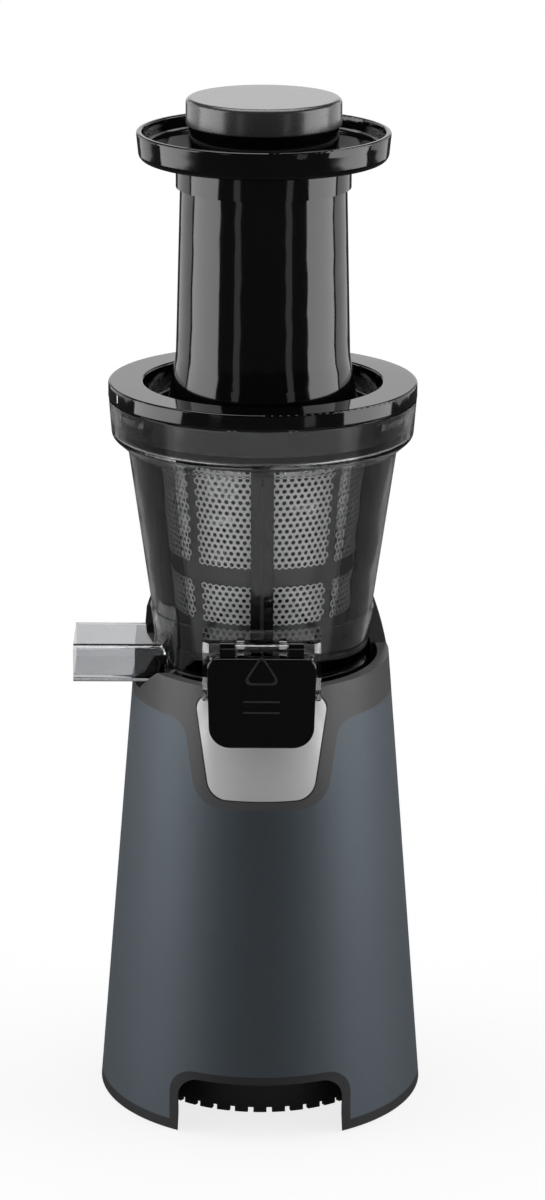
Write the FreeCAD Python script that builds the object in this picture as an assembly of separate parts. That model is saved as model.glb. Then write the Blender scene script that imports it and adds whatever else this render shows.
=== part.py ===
"""Vertical cold press juicer: motor base, juicing bowl, lid with feed tube, and pusher.

Units are millimetres. The origin is on the drive axis, at the plane the feet rest on.
+Z is up, the front faces -Y and the juice spout points to -X.
"""
import FreeCAD, Part
import math
import os

V = FreeCAD.Vector
UP = V(0, 0, 1)
ORIGIN = V(0, 0, 0)

# Base body: an upright oval cone
foot_half_width = 77.3
taper = 0.0785
depth_ratio = 1.155
shell_wall = 2.4
feet_proud = 0.8
trim_top = 5.5
rim_height = 215.5
collar_height = 17.5
collar_bottom = rim_height - collar_height
rim_width = 5.4
seam_gap = 0.2

# Arches through the lower edge, front and back
arch_half_width = 42.8
arch_height = 31.0
arch_corner = 12.0
trim_lining = 4.0
trim_lining_depth = 14.0
trim_ring_width = 16.5
foot_radius = 5.5
foot_thickness = 2.3
foot_inset = 9.0
foot_turn = 40.5

# Base plate with its vent ring
plate_thickness = 2.5
vent_ring_radius = 57.0
vent_ring_wall = 2.5
vent_ring_bottom = 2.0
vent_notches = 40
vent_notch_width = 2.7
vent_notch_depth = 2.5
grille_slots = 16
grille_inner = 12.0
grille_outer = 36.0
grille_slot_width = 4.0

# Collar, bib and steel panel
bib_half_width = 36.2
bib_bottom_half_width = 30.5
bib_drop = 56.6
bib_bottom = rim_height - bib_drop
bib_corner = 13.0
bib_fillet = 8.0
bib_wall = 3.2
panel_top_half_width = 31.2
panel_bottom_half_width = 24.0
panel_below_rim = 4.0
panel_above_bib = 4.3
panel_top = rim_height - panel_below_rim
panel_bottom = bib_bottom + panel_above_bib
panel_thickness = 0.8
panel_groove = 0.5
panel_sunk = 0.1
collar_skirt = 9.0
ledge_width = 4.0
ledge_thickness = 3.0
notch_depth = 12.5
notch_floor = rim_height - notch_depth
notch_half_width = 24.0
notch_top_half_width = 41.0

# Rear shroud
shroud_front = 12.0
shroud_rise = 32.5
shroud_top = rim_height + shroud_rise
shroud_lean = 48.6
shroud_wall = 2.6
shroud_clearance = 3.0
spout_pass = 2.5

# Deck that carries the bowl and the gearbox
deck_drop = 20.5
deck_top = rim_height - deck_drop
deck_thickness = 3.0
deck_gap = 0.2
boss_radius = 12.0
boss_height = 4.0

# Screws
screw_radius = 1.5
screw_head_radius = 3.0
screw_head_height = 2.0
screw_slack = 0.1
base_boss_radius = 5.5
base_boss_height = 24.0
base_boss_inset = 5.0
base_screw_turn = 45.0
gear_screw_circle = 29.0

# Motor
shaft_radius = 3.5
shaft_bottom = 36.0
motor_bottom = 50.0
motor_height = 74.0
motor_radius = 33.2
motor_wall = 2.0
magnet_thickness = 5.8
magnet_span = 140.0
air_gap = 0.8
core_height = 42.0
winding_height = 8.0
commutator_radius = 9.0
commutator_height = 8.0
bearing_radius = 8.0
bearing_height = 5.0
end_cap_thickness = 4.0
brush_size = 5.0
brush_length = 11.0
fan_radius = 38.0
fan_height = 9.0
fan_blades = 9
press_gap = 0.02
cutter_reach = 600.0  # half-length of the blocks that trim a shape, past every piece
running_gap = 0.05

# Planetary gears, the same in both stages
gear_module = 1.0
pressure_angle = 25.0
sun_teeth = 12
planet_teeth = 24
planet_count = 3
gear_width = 8.0
tooth_play = 0.12
addendum_share = 0.8
dedendum_share = 1.0
carrier_thickness = 3.5
planet_pin_radius = 2.5
stage_gap = 0.6
housing_wall = 3.0
ring_wall = 3.5
output_radius = 7.0
bush_wall = 2.5
bush_height = 8.0

# Bowl drive gears
bowl_module = 1.5
auger_teeth = 20
idler_teeth = 14
bowl_gear_width = 6.4
idler_pin_radius = 3.0

# Drive hex
hex_flats = 12.0
hex_play = 0.3
hex_rise = 25.0
hex_top = deck_top + hex_rise

# Bowl
foot_ring_radius = 50.3
foot_ring_wall = 3.0
foot_ring_drop = 2.5
foot_ring_top = rim_height - foot_ring_drop
floor_above_deck = 8.0
bowl_floor = deck_top + floor_above_deck
bowl_floor_thickness = 3.0
packing_radius = 12.0
bowl_wall = 2.5
bowl_bottom_radius = 49.4
bowl_neck_radius = 64.2
bowl_body_height = 102.6
bowl_neck = foot_ring_top + bowl_body_height
bowl_shoulder_radius = 70.9
shoulder_height = 5.9
bowl_shoulder = bowl_neck + shoulder_height
bowl_top_radius = 72.3
bowl_rim_height = 17.5
bowl_top = bowl_shoulder + bowl_rim_height
recess_depth = 0.8
recess_angle = 39.3
recess_rise = 25.0
recess_bottom = foot_ring_top + recess_rise

# Juice spout
spout_half_width = 22.0
spout_above_floor = 1.6
spout_height = 18.4
spout_bottom = bowl_floor + spout_above_floor
spout_top = spout_bottom + spout_height
spout_tip = 89.0
spout_wall = 2.2
spout_corner = 4.0
root_tip = 60.0
root_gap = 0.3
root_wall = 2.0

# Pulp duct and its cover
duct_half_width = 27.3
duct_wall = 3.0
duct_front = 79.0
hinge_rise = 23.5
hinge_height = rim_height + hinge_rise
duct_above_hinge = 1.0
mouth_below_hinge = 2.5
duct_rim_step = 2.0
duct_top = hinge_height + duct_above_hinge
duct_mouth_top = hinge_height - mouth_below_hinge
duct_root_bottom = rim_height + duct_rim_step
duct_mouth_bottom = rim_height - duct_rim_step
cover_half_width = 25.3
cover_taper = 1.3
cover_below_hinge = 3.0
cover_below_rim = 22.5
cover_top = hinge_height - cover_below_hinge
cover_bottom = rim_height - cover_below_rim
cover_thickness = 8.0
cover_wall = 2.6
cover_gap = 0.3
cover_top_corner = 5.0
cover_bottom_corner = 10.0
hinge_radius = 3.2
hinge_pin_radius = 1.5
lug_inner = 8.0
lug_outer = 11.5
ear_inner = 12.3
ear_outer = 19.4
seal_depth = 2.0
seal_gap = 1.3

# Strainer
strainer_above_floor = 13.0
strainer_bottom = bowl_floor + strainer_above_floor
strainer_bottom_radius = 38.0
strainer_top_radius = 47.9
strainer_below_top = 16.5
strainer_top = bowl_top - strainer_below_top
strainer_wall = 2.2
strainer_flange = 2.0
strainer_flange_gap = 0.4
strainer_floor_hole = 17.6
window_margin = 6.0
upper_window_height = 49.3
window_bar = 10.6
lower_window_height = 17.4
upper_window_top = strainer_top - window_margin
upper_window_bottom = upper_window_top - upper_window_height
lower_window_top = upper_window_bottom - window_bar
lower_window_bottom = lower_window_top - lower_window_height
window_half_angle = 40.0
mesh_thickness = 0.4
pulp_slot_inner = 21.0
pulp_slot_outer = 34.0
pulp_slot_half_angle = 24.0

# Brush cage
cage_gap = 2.0
cage_thickness = 3.0
cage_ring_wall = 2.7
cage_top_gap = 2.5
cage_top = strainer_top - cage_top_gap
cage_top_ring = 3.0
cage_posts = 4
post_width = 10.5
blade_width = 1.6
inner_blade_width = 3.0
blade_gap = 0.4
blade_rise = 6.0
blade_drop = 9.0
blade_bottom = strainer_bottom + blade_rise
blade_top = cage_top - blade_drop

# Auger
auger_neck_radius = 16.8
auger_root_radius = 24.0
auger_tip_radius = 10.0
auger_root_rise = 8.0
auger_below_top = 22.0
auger_tip_drop = 11.0
auger_root_height = strainer_bottom + auger_root_rise
auger_top = bowl_top - auger_below_top
auger_tip_height = auger_top - auger_tip_drop
auger_pin_radius = 4.0
auger_pin_length = 12.0
auger_pin_top = auger_top + auger_pin_length
flight_pitch = 40.0
flight_turns = 1.9
flight_rise = 2.0
flight_bottom = auger_root_height + flight_rise
flight_thickness = 4.0
flight_gap = 0.9
socket_radius = 10.5
socket_above_hex = 3.0
socket_top = hex_top + socket_above_hex

# Lid
lid_radius = 72.5
lid_gap = 0.7
lid_ring_height = 7.3
lid_bottom = bowl_top + lid_gap
lid_top = lid_bottom + lid_ring_height
lid_inner = 56.2
lid_floor_drop = 6.9
lid_floor = lid_bottom - lid_floor_drop
lid_floor_thickness = 3.0
lid_web = 2.2
skirt_radius = 66.8
skirt_drop = 13.0
skirt_bottom = bowl_top - skirt_drop
tube_foot_radius = 40.8
tube_foot_rise = 13.0
tube_foot = lid_top + tube_foot_rise
tube_top_radius = 38.7
tube_height = 86.0
tube_top = tube_foot + tube_height
tube_bore = 35.3
tube_fillet = 10.0
boss_half_width = 17.3
boss_back = 38.0
boss_front = 50.4
lid_boss_rise = 3.0
lid_boss_top = lid_top + lid_boss_rise
bridge_half_width = 18.5
gasket_height = 2.2
lug_span = 18.0
lug_count = 3
lug_first = 60.0
lug_height = 3.0
lid_lug_radius = 68.5
lid_lug_drop = 9.4
lid_lug_bottom = bowl_top - lid_lug_drop
bowl_lug_radius = 67.2
bowl_lug_gap = 0.6
stop_radius = 68.6
stop_half_angle = 10.3
stop_drop = 8.0
stop_bottom = bowl_top - stop_drop
rib_angle = 10.9
rib_width = 1.6
rib_proud = 1.0
rib_bottom = stop_bottom
rib_spacing = 2.6
spider_width = 10.0
spider_below_top = 5.0
spider_thickness = 12.0
spider_top = bowl_top - spider_below_top
spider_bottom = spider_top - spider_thickness
hub_radius = 9.0
hub_above_auger = 1.0
hub_bottom = auger_top + hub_above_auger
lid_bush_wall = 2.5

# Hopper tray
sleeve_radius = 40.8
sleeve_overlap = 7.0
sleeve_bottom = tube_top - sleeve_overlap
tray_radius = 59.2
tray_rise = 5.8
tray_height = 13.2
tray_bottom = tube_top + tray_rise
tray_top = tray_bottom + tray_height
tray_wall = 2.6
tray_floor_rise = 3.4
tray_floor = tray_bottom + tray_floor_rise

# Pusher
pusher_gap = 0.35
pusher_wall = 2.5
pusher_rise = 3.0
pusher_top = tray_top + pusher_rise
cap_radius = 36.2
cap_height = 12.7
cap_top = pusher_top + cap_height
cap_edge = 2.4
cap_plug = 6.0

# Rear fittings
switch_height = 70.0
switch_half_width = 15.0
switch_half_height = 11.5
switch_wall = 2.0
switch_depth = 18.0
switch_proud = 1.4
rocker_gap = 0.5
rocker_half_height = 7.6
rocker_depth = 7.0
rocker_swell = 1.2
rocker_pin_radius = 1.5
gland_height = 44.0
gland_radius = 5.9
gland_flange = 8.5
gland_flange_thickness = 2.5
gland_bore = 3.5
gland_depth = 9.0
board_width = 50.0
board_depth = 24.0
board_thickness = 1.6
board_lift = 3.3
board_middle = 62.0

# Heights and radii that follow from the sizes above
plate_bottom = arch_height + seam_gap
plate_top = plate_bottom + plate_thickness
core_radius = motor_radius - motor_wall - magnet_thickness - air_gap
core_bottom = motor_bottom + bearing_height + 1.5 + winding_height
motor_top = motor_bottom + motor_height
gearbox_bottom = motor_top + end_cap_thickness
first_gear_bottom = gearbox_bottom + housing_wall + stage_gap
first_plate = first_gear_bottom + gear_width + stage_gap
second_gear_bottom = first_plate + carrier_thickness + stage_gap
second_plate = second_gear_bottom + gear_width + stage_gap
gearbox_top = second_plate + carrier_thickness + stage_gap
ring_teeth = sun_teeth + 2 * planet_teeth
planet_circle = gear_module * (sun_teeth + planet_teeth) / 2
ring_outer = gear_module * ring_teeth / 2 + gear_module * dedendum_share + ring_wall
housing_radius = ring_outer + press_gap + housing_wall
bush_radius = output_radius + running_gap + bush_wall
hub_outer = bush_radius + press_gap + housing_wall
deck_bottom = deck_top - deck_thickness
boss_top = deck_top + boss_height
bowl_floor_top = bowl_floor + bowl_floor_thickness
cage_teeth = auger_teeth + 2 * idler_teeth
idler_circle = bowl_module * (auger_teeth + idler_teeth) / 2
bowl_gear_bottom = bowl_floor_top + 0.5
bowl_gear_top = bowl_gear_bottom + bowl_gear_width
cage_ring_radius = bowl_module * (cage_teeth / 2 + dedendum_share) + cage_ring_wall
strainer_slope = (strainer_top_radius - strainer_bottom_radius) / (strainer_top - strainer_bottom)
bowl_slope = (bowl_neck_radius - bowl_bottom_radius) / (bowl_neck - foot_ring_top)
pusher_radius = tube_bore - pusher_gap
pusher_bottom = spider_top + cover_gap
cover_back = duct_front + cover_gap


def half_width(z):
    return foot_half_width - taper * z


def half_depth(z):
    return depth_ratio * half_width(z)


def strainer_radius(z):
    return strainer_bottom_radius + strainer_slope * (z - strainer_bottom)


def bowl_radius(z):
    return bowl_bottom_radius + bowl_slope * (z - foot_ring_top)


def oval_wire(z, inset):
    """The oval section of the base at height z, drawn in by inset."""
    wide = half_width(z) - inset
    deep = half_depth(z) - inset
    section = Part.Ellipse(V(0, 0, z), max(wide, deep), min(wide, deep)).toShape()
    if deep > wide:
        section.rotate(ORIGIN, UP, 90)
    return Part.Wire(section)


def oval_block(low, high, inset):
    """The solid inside the base's oval cone between two heights."""
    return Part.makeLoft([oval_wire(low, inset), oval_wire(high, inset)], True, True)


def rounded_face(corners, place):
    """A flat face through (u, v, radius) corners, placed in space by place(u, v)."""
    firsts = []
    lasts = []
    middles = []
    for i, (u, v, radius) in enumerate(corners):
        here = V(u, v, 0)
        back = (V(*corners[i - 1][:2], 0) - here).normalize()
        ahead = (V(*corners[(i + 1) % len(corners)][:2], 0) - here).normalize()
        half = back.getAngle(ahead) / 2
        reach = radius / math.tan(half)
        centre = here + (back + ahead).normalize() * (radius / math.sin(half)) if radius else here
        firsts.append(here + back * reach)
        lasts.append(here + ahead * reach)
        middles.append(centre + (here - centre).normalize() * radius if radius else here)
    edges = []
    for i, (u, v, radius) in enumerate(corners):
        if radius:
            arc = [place(p.x, p.y) for p in (firsts[i], middles[i], lasts[i])]
            edges.append(Part.Arc(*arc).toShape())
        start = place(lasts[i].x, lasts[i].y)
        end = place(firsts[(i + 1) % len(corners)].x, firsts[(i + 1) % len(corners)].y)
        if start.distanceToPoint(end) > 1e-6:
            edges.append(Part.makeLine(start, end))
    return Part.Face(Part.Wire(edges))


def corners_of(points):
    return [point if len(point) == 3 else (point[0], point[1], 0) for point in points]


def spun(points, angle=360):
    """A solid of revolution about the Z axis from (radius, height[, corner]) points."""
    face = rounded_face(corners_of(points), lambda u, v: V(u, 0, v))
    return face.revolve(ORIGIN, UP, angle)


def spun_span(points, middle, span):
    """A part turn of a profile, centred on an angle counted from the front, -Y."""
    solid = spun(points, span)
    solid.rotate(ORIGIN, UP, middle - 90 - span / 2)
    return solid


def front_prism(points, back, front):
    """An outline in X and Z, run from depth y = back to y = front."""
    face = rounded_face(corners_of(points), lambda u, v: V(u, back, v))
    return face.extrude(V(0, front - back, 0))


def side_prism(points, half):
    """An outline in Y and Z, run over x from -half to half."""
    face = rounded_face(corners_of(points), lambda u, v: V(-half, u, v))
    return face.extrude(V(2 * half, 0, 0))


def box(low, high):
    return Part.makeBox(high[0] - low[0], high[1] - low[1], high[2] - low[2], V(*low))


def rod(radius, low, high, x=0.0, y=0.0):
    return Part.makeCylinder(radius, high - low, V(x, y, low))


def tube(outer, inner, low, high, x=0.0, y=0.0):
    return rod(outer, low, high, x, y).cut(rod(inner, low - 1, high + 1, x, y))


def around(x, y, turn):
    """The point (x, y) turned about the Z axis by an angle in degrees."""
    a = math.radians(turn)
    return x * math.cos(a) - y * math.sin(a), x * math.sin(a) + y * math.cos(a)


def gear_outline(module, teeth, tip, root, thickness, turn, z):
    """A closed toothed wire: involute flanks, arcs at the tips and straight roots."""
    pitch = module * teeth / 2
    base = pitch * math.cos(math.radians(pressure_angle))
    rolled = math.tan(math.radians(pressure_angle)) - math.radians(pressure_angle)
    half_tooth = thickness / (2 * pitch) + rolled

    def flank_angle(radius):
        if radius <= base:
            return half_tooth
        alpha = math.acos(base / radius)
        return half_tooth - (math.tan(alpha) - alpha)

    low = max(root, base)
    radii = [low + (tip - low) * step / 3 for step in range(4)]
    edges = []
    for tooth in range(teeth):
        middle = math.radians(turn) + 2 * math.pi * tooth / teeth

        def at(radius, angle):
            return V(radius * math.cos(middle + angle), radius * math.sin(middle + angle), z)

        rising = [at(r, -flank_angle(r)) for r in radii]
        falling = [at(r, flank_angle(r)) for r in reversed(radii)]
        if root < base:
            edges.append(Part.makeLine(at(root, -half_tooth), rising[0]))
        up_flank = Part.BSplineCurve()
        up_flank.interpolate(rising)
        edges.append(up_flank.toShape())
        edges.append(Part.Arc(rising[-1], at(tip, 0), falling[0]).toShape())
        down_flank = Part.BSplineCurve()
        down_flank.interpolate(falling)
        edges.append(down_flank.toShape())
        leave = falling[-1]
        if root < base:
            edges.append(Part.makeLine(leave, at(root, half_tooth)))
            leave = at(root, half_tooth)
        step = 2 * math.pi / teeth
        enter = at(root if root < base else low, step - flank_angle(low))
        edges.append(Part.Arc(leave, at(root, step / 2), enter).toShape())
    return Part.Wire(edges)


def outer_gear(module, teeth, low, high, turn):
    pitch = module * teeth / 2
    outline = gear_outline(
        module, teeth, pitch + addendum_share * module, pitch - dedendum_share * module,
        math.pi * module / 2 - tooth_play, turn, low)
    return Part.Face(outline).extrude(V(0, 0, high - low))


def inner_gear(module, teeth, outer, low, high, turn):
    """A ring with inward teeth: the gaps between them are centred on turn."""
    pitch = module * teeth / 2
    outline = gear_outline(
        module, teeth, pitch + dedendum_share * module, pitch - addendum_share * module,
        math.pi * module / 2 + tooth_play, turn, low)
    return rod(outer, low, high).cut(Part.Face(outline).extrude(V(0, 0, high - low)))


def screw(x, y, seat, length, upward):
    """A pan head screw whose head sits on z = seat and whose shank runs up or down."""
    way = 1 if upward else -1
    shank = rod(screw_radius, min(seat, seat + way * length), max(seat, seat + way * length), x, y)
    head_low = seat - screw_head_height if upward else seat
    head = rod(screw_head_radius, head_low, head_low + screw_head_height, x, y)
    slot_low = head_low if upward else head_low + screw_head_height / 2
    drive = box((x - 2, y - 0.4, slot_low), (x + 2, y + 0.4, slot_low + screw_head_height / 2))
    cross = drive.copy()
    cross.rotate(V(x, y, 0), UP, 90)
    return shank.fuse(head).cut(drive).cut(cross)


def arch_prism(lining):
    """The arch's tunnel, lined by a strip of this thickness, from front to back."""
    wide = arch_half_width - lining
    high = arch_height - lining * 0.925
    points = [
        (-wide, -5), (-wide, high, arch_corner - lining / 2), (wide, high, arch_corner - lining / 2),
        (wide, -5)]
    return front_prism(points, -2 * foot_half_width, 2 * foot_half_width)


def bib_prism(play):
    """The tongue that the collar sends down the front of the shell."""
    wide = bib_half_width + play
    low = bib_bottom_half_width + play
    reach = bib_half_width + 14
    points = [
        (-reach, rim_height), (-reach, collar_bottom), (-wide, collar_bottom, bib_fillet),
        (-low, bib_bottom - play, bib_corner), (low, bib_bottom - play, bib_corner),
        (wide, collar_bottom, bib_fillet), (reach, collar_bottom), (reach, rim_height)]
    return front_prism(points, -2 * foot_half_width, 0)


def panel_prism(play):
    top = panel_top_half_width + play
    low = panel_bottom_half_width + play
    points = [
        (-top, panel_top + play, 7), (-low, panel_bottom - play, 9),
        (low, panel_bottom - play, 9), (top, panel_top + play, 7)]
    return front_prism(points, -2 * foot_half_width, 0)


def base_boss_places():
    places = []
    for turn in (base_screw_turn, 180 - base_screw_turn, 180 + base_screw_turn, 360 - base_screw_turn):
        wide = half_width(plate_top) - shell_wall - base_boss_inset
        deep = half_depth(plate_top) - shell_wall - base_boss_inset
        places.append((wide * math.cos(math.radians(turn)), deep * math.sin(math.radians(turn))))
    return places


def gear_screw_places():
    return [around(gear_screw_circle, 0, 45 + 90 * i) for i in range(4)]


def base_shell():
    shell = oval_block(trim_top, collar_bottom, 0).cut(
        oval_block(trim_top - 1, collar_bottom + 1, shell_wall))
    inside = oval_block(trim_top, collar_bottom, shell_wall / 2)
    for x, y in base_boss_places():
        boss = rod(base_boss_radius, plate_top, plate_top + base_boss_height, x, y).common(inside)
        shell = shell.fuse(boss)
        shell = shell.cut(
            rod(screw_radius + screw_slack, plate_top - 1, plate_top + base_boss_height - 4, x, y))
    shell = shell.cut(arch_prism(0))
    shell = shell.cut(bib_prism(0))
    switch = [
        (-switch_half_width, switch_height - switch_half_height, 2),
        (-switch_half_width, switch_height + switch_half_height, 2),
        (switch_half_width, switch_height + switch_half_height, 2),
        (switch_half_width, switch_height - switch_half_height, 2)]
    shell = shell.cut(front_prism(switch, 0, 2 * foot_half_width))
    hole = Part.makeCylinder(
        gland_radius + screw_slack, 2 * foot_half_width, V(0, 0, gland_height), V(0, 1, 0))
    return shell.cut(hole)


def foot_places():
    places = []
    for turn in (foot_turn, 180 - foot_turn, 180 + foot_turn, 360 - foot_turn):
        wide = half_width(0) - foot_inset
        deep = half_depth(0) - foot_inset
        places.append((wide * math.cos(math.radians(turn)), deep * math.sin(math.radians(turn))))
    return places


def trim_skirt():
    ring = oval_block(feet_proud, trim_top, 0).cut(oval_block(feet_proud - 1, trim_top + 1, trim_ring_width))
    lining = oval_block(trim_top, arch_height, 0)
    lining = lining.cut(oval_block(trim_top - 1, arch_height + 1, trim_lining_depth))
    lining = lining.common(arch_prism(0))
    trim = ring.fuse(lining).cut(arch_prism(trim_lining))
    for x, y in foot_places():
        trim = trim.cut(rod(foot_radius + screw_slack, 0, foot_thickness, x, y))
    return trim.removeSplitter()


def rubber_feet():
    feet = []
    for x, y in foot_places():
        foot = rod(foot_radius, 0, foot_thickness, x, y)
        low_edge = [edge for edge in foot.Edges if edge.BoundBox.ZMax < 0.01]
        feet.append(foot.makeChamfer(0.4, low_edge))
    return Part.makeCompound(feet)


def base_plate():
    """The bottom cover, with the notched vent ring below it and a grille under the fan."""
    plate = oval_block(plate_bottom, plate_top, shell_wall + seam_gap)
    ring = tube(vent_ring_radius, vent_ring_radius - vent_ring_wall, vent_ring_bottom, plate_bottom)
    plate = plate.fuse(ring)
    cuts = []
    for i in range(vent_notches):
        notch = box(
            (vent_ring_radius - 2 * vent_ring_wall, -vent_notch_width / 2, vent_ring_bottom - 1),
            (vent_ring_radius + 1, vent_notch_width / 2, vent_ring_bottom + vent_notch_depth))
        notch.rotate(ORIGIN, UP, 360 * (i + 0.5) / vent_notches)
        cuts.append(notch)
    for i in range(grille_slots):
        slot = box(
            (grille_inner, -grille_slot_width / 2, plate_bottom - 1),
            (grille_outer, grille_slot_width / 2, plate_top + 1))
        slot.rotate(ORIGIN, UP, 360 * i / grille_slots)
        cuts.append(slot)
    for x, y in base_boss_places():
        cuts.append(rod(screw_radius + screw_slack, plate_bottom - 1, plate_top + 1, x, y))
    return plate.cut(Part.makeCompound(cuts))


def base_screws():
    screws = [screw(x, y, plate_bottom, base_boss_height - 6, True) for x, y in base_boss_places()]
    return Part.makeCompound(screws)


def collar():
    """The upper housing: rim wall, inner ledge for the deck, bib and spout notch."""
    body = oval_block(collar_bottom, rim_height, 0)
    skirt_low = collar_bottom - collar_skirt
    skirt = oval_block(skirt_low, collar_bottom, shell_wall + seam_gap)
    ledge_inset = rim_width + ledge_width
    body = body.fuse(skirt).cut(oval_block(skirt_low - 1, rim_height + 1, ledge_inset))
    body = body.cut(oval_block(deck_bottom, rim_height + 1, rim_width))
    bib = oval_block(bib_bottom - 5, collar_bottom, 0)
    bib = bib.cut(oval_block(bib_bottom - 6, collar_bottom + 1, bib_wall)).common(bib_prism(0))
    body = body.fuse(bib)
    recess = oval_block(panel_bottom - 3, panel_top + 3, -1)
    recess = recess.cut(oval_block(panel_bottom - 4, panel_top + 4, panel_sunk + panel_thickness))
    body = body.cut(recess.common(panel_prism(panel_groove)))
    notch = [
        (-notch_half_width, notch_floor, 3), (-notch_top_half_width, rim_height),
        (-notch_top_half_width, rim_height + 5), (notch_top_half_width, rim_height + 5),
        (notch_top_half_width, rim_height), (notch_half_width, notch_floor, 3)]
    cutter = side_prism(notch, foot_half_width / 2)
    cutter.translate(V(-foot_half_width, 0, 0))
    return body.cut(cutter).removeSplitter()


def steel_panel():
    sheet = oval_block(panel_bottom - 3, panel_top + 3, panel_sunk)
    sheet = sheet.cut(oval_block(panel_bottom - 4, panel_top + 4, panel_sunk + panel_thickness))
    return sheet.common(panel_prism(0))


def shroud_block(wall, low):
    """The space the shroud fills, drawn in by wall on every side but the bottom."""
    top = shroud_top - wall
    upper = oval_block(rim_height, top, wall)
    lower = oval_block(low, rim_height, rim_width + deck_gap + wall)
    block = upper.fuse(lower)
    block = block.cut(
        box((-cutter_reach, -cutter_reach, low - 1),
        (-rim_width * 5, spout_half_width + spout_pass + wall, top + 1)))
    clear = shroud_clearance + wall
    block = block.cut(rod(foot_ring_radius + clear, low - 1, top + 1))
    block = block.cut(Part.makeCone(
        bowl_radius(foot_ring_top) + clear, bowl_radius(top + 1) + clear,
        top + 1 - foot_ring_top, V(0, 0, foot_ring_top)))
    back = 2 * foot_half_width
    lean = math.tan(math.radians(90 - shroud_lean)) * (top - rim_height)
    step = wall / math.sin(math.radians(shroud_lean))
    behind = [
        (shroud_front + step, low - 1), (shroud_front + step, rim_height),
        (shroud_front + step + lean, top), (back, top), (back, low - 1)]
    return block.common(side_prism(behind, back))


def rear_shroud():
    return shroud_block(0, deck_top).cut(shroud_block(shroud_wall, deck_top - 1))


def deck():
    """The plate the bowl stands on, screwed to the gearbox below it."""
    plate = oval_block(deck_bottom, deck_top, rim_width + deck_gap)
    plate = plate.fuse(rod(boss_radius + 2, deck_top, boss_top))
    plate = plate.cut(rod(boss_radius, deck_bottom - 1, boss_top + 1))
    for x, y in gear_screw_places():
        plate = plate.cut(rod(screw_radius + screw_slack, deck_bottom - 1, deck_top + 1, x, y))
        plate = plate.cut(
            rod(screw_head_radius + screw_slack, deck_top - screw_head_height, deck_top + 1, x, y))
    return plate


def shaft_seal():
    profile = [
        (output_radius + running_gap, deck_bottom), (boss_radius - press_gap, deck_bottom),
        (boss_radius - press_gap, boss_top), (output_radius + 2, boss_top, 0.5),
        (output_radius + running_gap, boss_top - 1.5)]
    return spun(profile)


def gear_screws():
    length = deck_thickness - screw_head_height + 5
    return Part.makeCompound([
        screw(x, y, deck_top - screw_head_height, length, False) for x, y in gear_screw_places()])


def gearbox_lid():
    """A spool: the gearbox cover, the bush tower and the flange under the deck."""
    flange = 6.0
    cover = 4.0
    profile = [
        (bush_radius + press_gap, gearbox_top), (housing_radius, gearbox_top),
        (housing_radius, gearbox_top + cover), (hub_outer, gearbox_top + cover, 2),
        (hub_outer, deck_bottom - flange, 2), (housing_radius, deck_bottom - flange),
        (housing_radius, deck_bottom), (bush_radius + press_gap, deck_bottom)]
    body = spun(profile)
    for i in range(4):
        rib = box(
            (hub_outer - 1, -1.5, gearbox_top + cover - 1),
            (housing_radius - 3, 1.5, deck_bottom - flange + 1))
        rib.rotate(ORIGIN, UP, 90 * i)
        body = body.fuse(rib)
    for x, y in gear_screw_places():
        body = body.cut(rod(screw_radius + screw_slack, deck_bottom - flange - 1, deck_bottom + 1, x, y))
    return body


def output_bushes():
    low = gearbox_top + 1
    high = deck_bottom - 1
    lower = tube(bush_radius, output_radius + running_gap, low, low + bush_height)
    upper = tube(bush_radius, output_radius + running_gap, high - bush_height, high)
    return Part.makeCompound([lower, upper])


def gearbox_housing():
    cup = rod(housing_radius, gearbox_bottom, gearbox_top)
    cup = cup.cut(rod(ring_outer + press_gap, gearbox_bottom + housing_wall, gearbox_top + 1))
    return cup.cut(rod(bearing_radius + 1, gearbox_bottom - 1, gearbox_bottom + housing_wall + 1))


def ring_gear():
    """One long ring serves both stages. A tooth points inward at each planet."""
    half_step = 180 / ring_teeth
    return inner_gear(
        gear_module, ring_teeth, ring_outer, gearbox_bottom + housing_wall, gearbox_top, half_step)


def planet_gear(index, low):
    """A planet with a gap facing the sun's tooth, and a bore for its pin."""
    turn = 360 * index / planet_count
    gear = outer_gear(gear_module, planet_teeth, low, low + gear_width, turn + 180 / planet_teeth)
    gear = gear.cut(rod(planet_pin_radius + running_gap, low - 1, low + gear_width + 1))
    x, y = around(planet_circle, 0, turn)
    gear.translate(V(x, y, 0))
    return gear


def carrier(plate_low):
    """The plate over three planets, with a pin down into each."""
    plate = rod(planet_circle + planet_pin_radius + 3, plate_low, plate_low + carrier_thickness)
    for i in range(planet_count):
        x, y = around(planet_circle, 0, 360 * i / planet_count)
        plate = plate.fuse(rod(planet_pin_radius, plate_low - stage_gap - gear_width, plate_low + 1, x, y))
    return plate


def first_carrier():
    sun = outer_gear(
        gear_module, sun_teeth, first_plate + carrier_thickness, second_gear_bottom + gear_width, 0)
    return carrier(first_plate).fuse(sun)


def second_carrier():
    return carrier(second_plate).cut(rod(output_radius + press_gap, second_plate - 1, gearbox_top))


def hex_prism(flats, low, high):
    radius = flats / math.sqrt(3)
    points = [V(*around(radius, 0, 60 * i), low) for i in range(7)]
    return Part.Face(Part.makePolygon(points)).extrude(V(0, 0, high - low))


def output_shaft():
    round_top = bowl_floor_top
    shaft = rod(output_radius, second_plate, round_top)
    drive = hex_prism(hex_flats, round_top - 1, hex_top)
    tip = Part.makeCone(output_radius + 3, output_radius - 2.5, 6, V(0, 0, hex_top - 5))
    block = rod(output_radius + 3, round_top - 1, hex_top - 5).fuse(tip)
    return shaft.fuse(drive.common(block))


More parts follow.
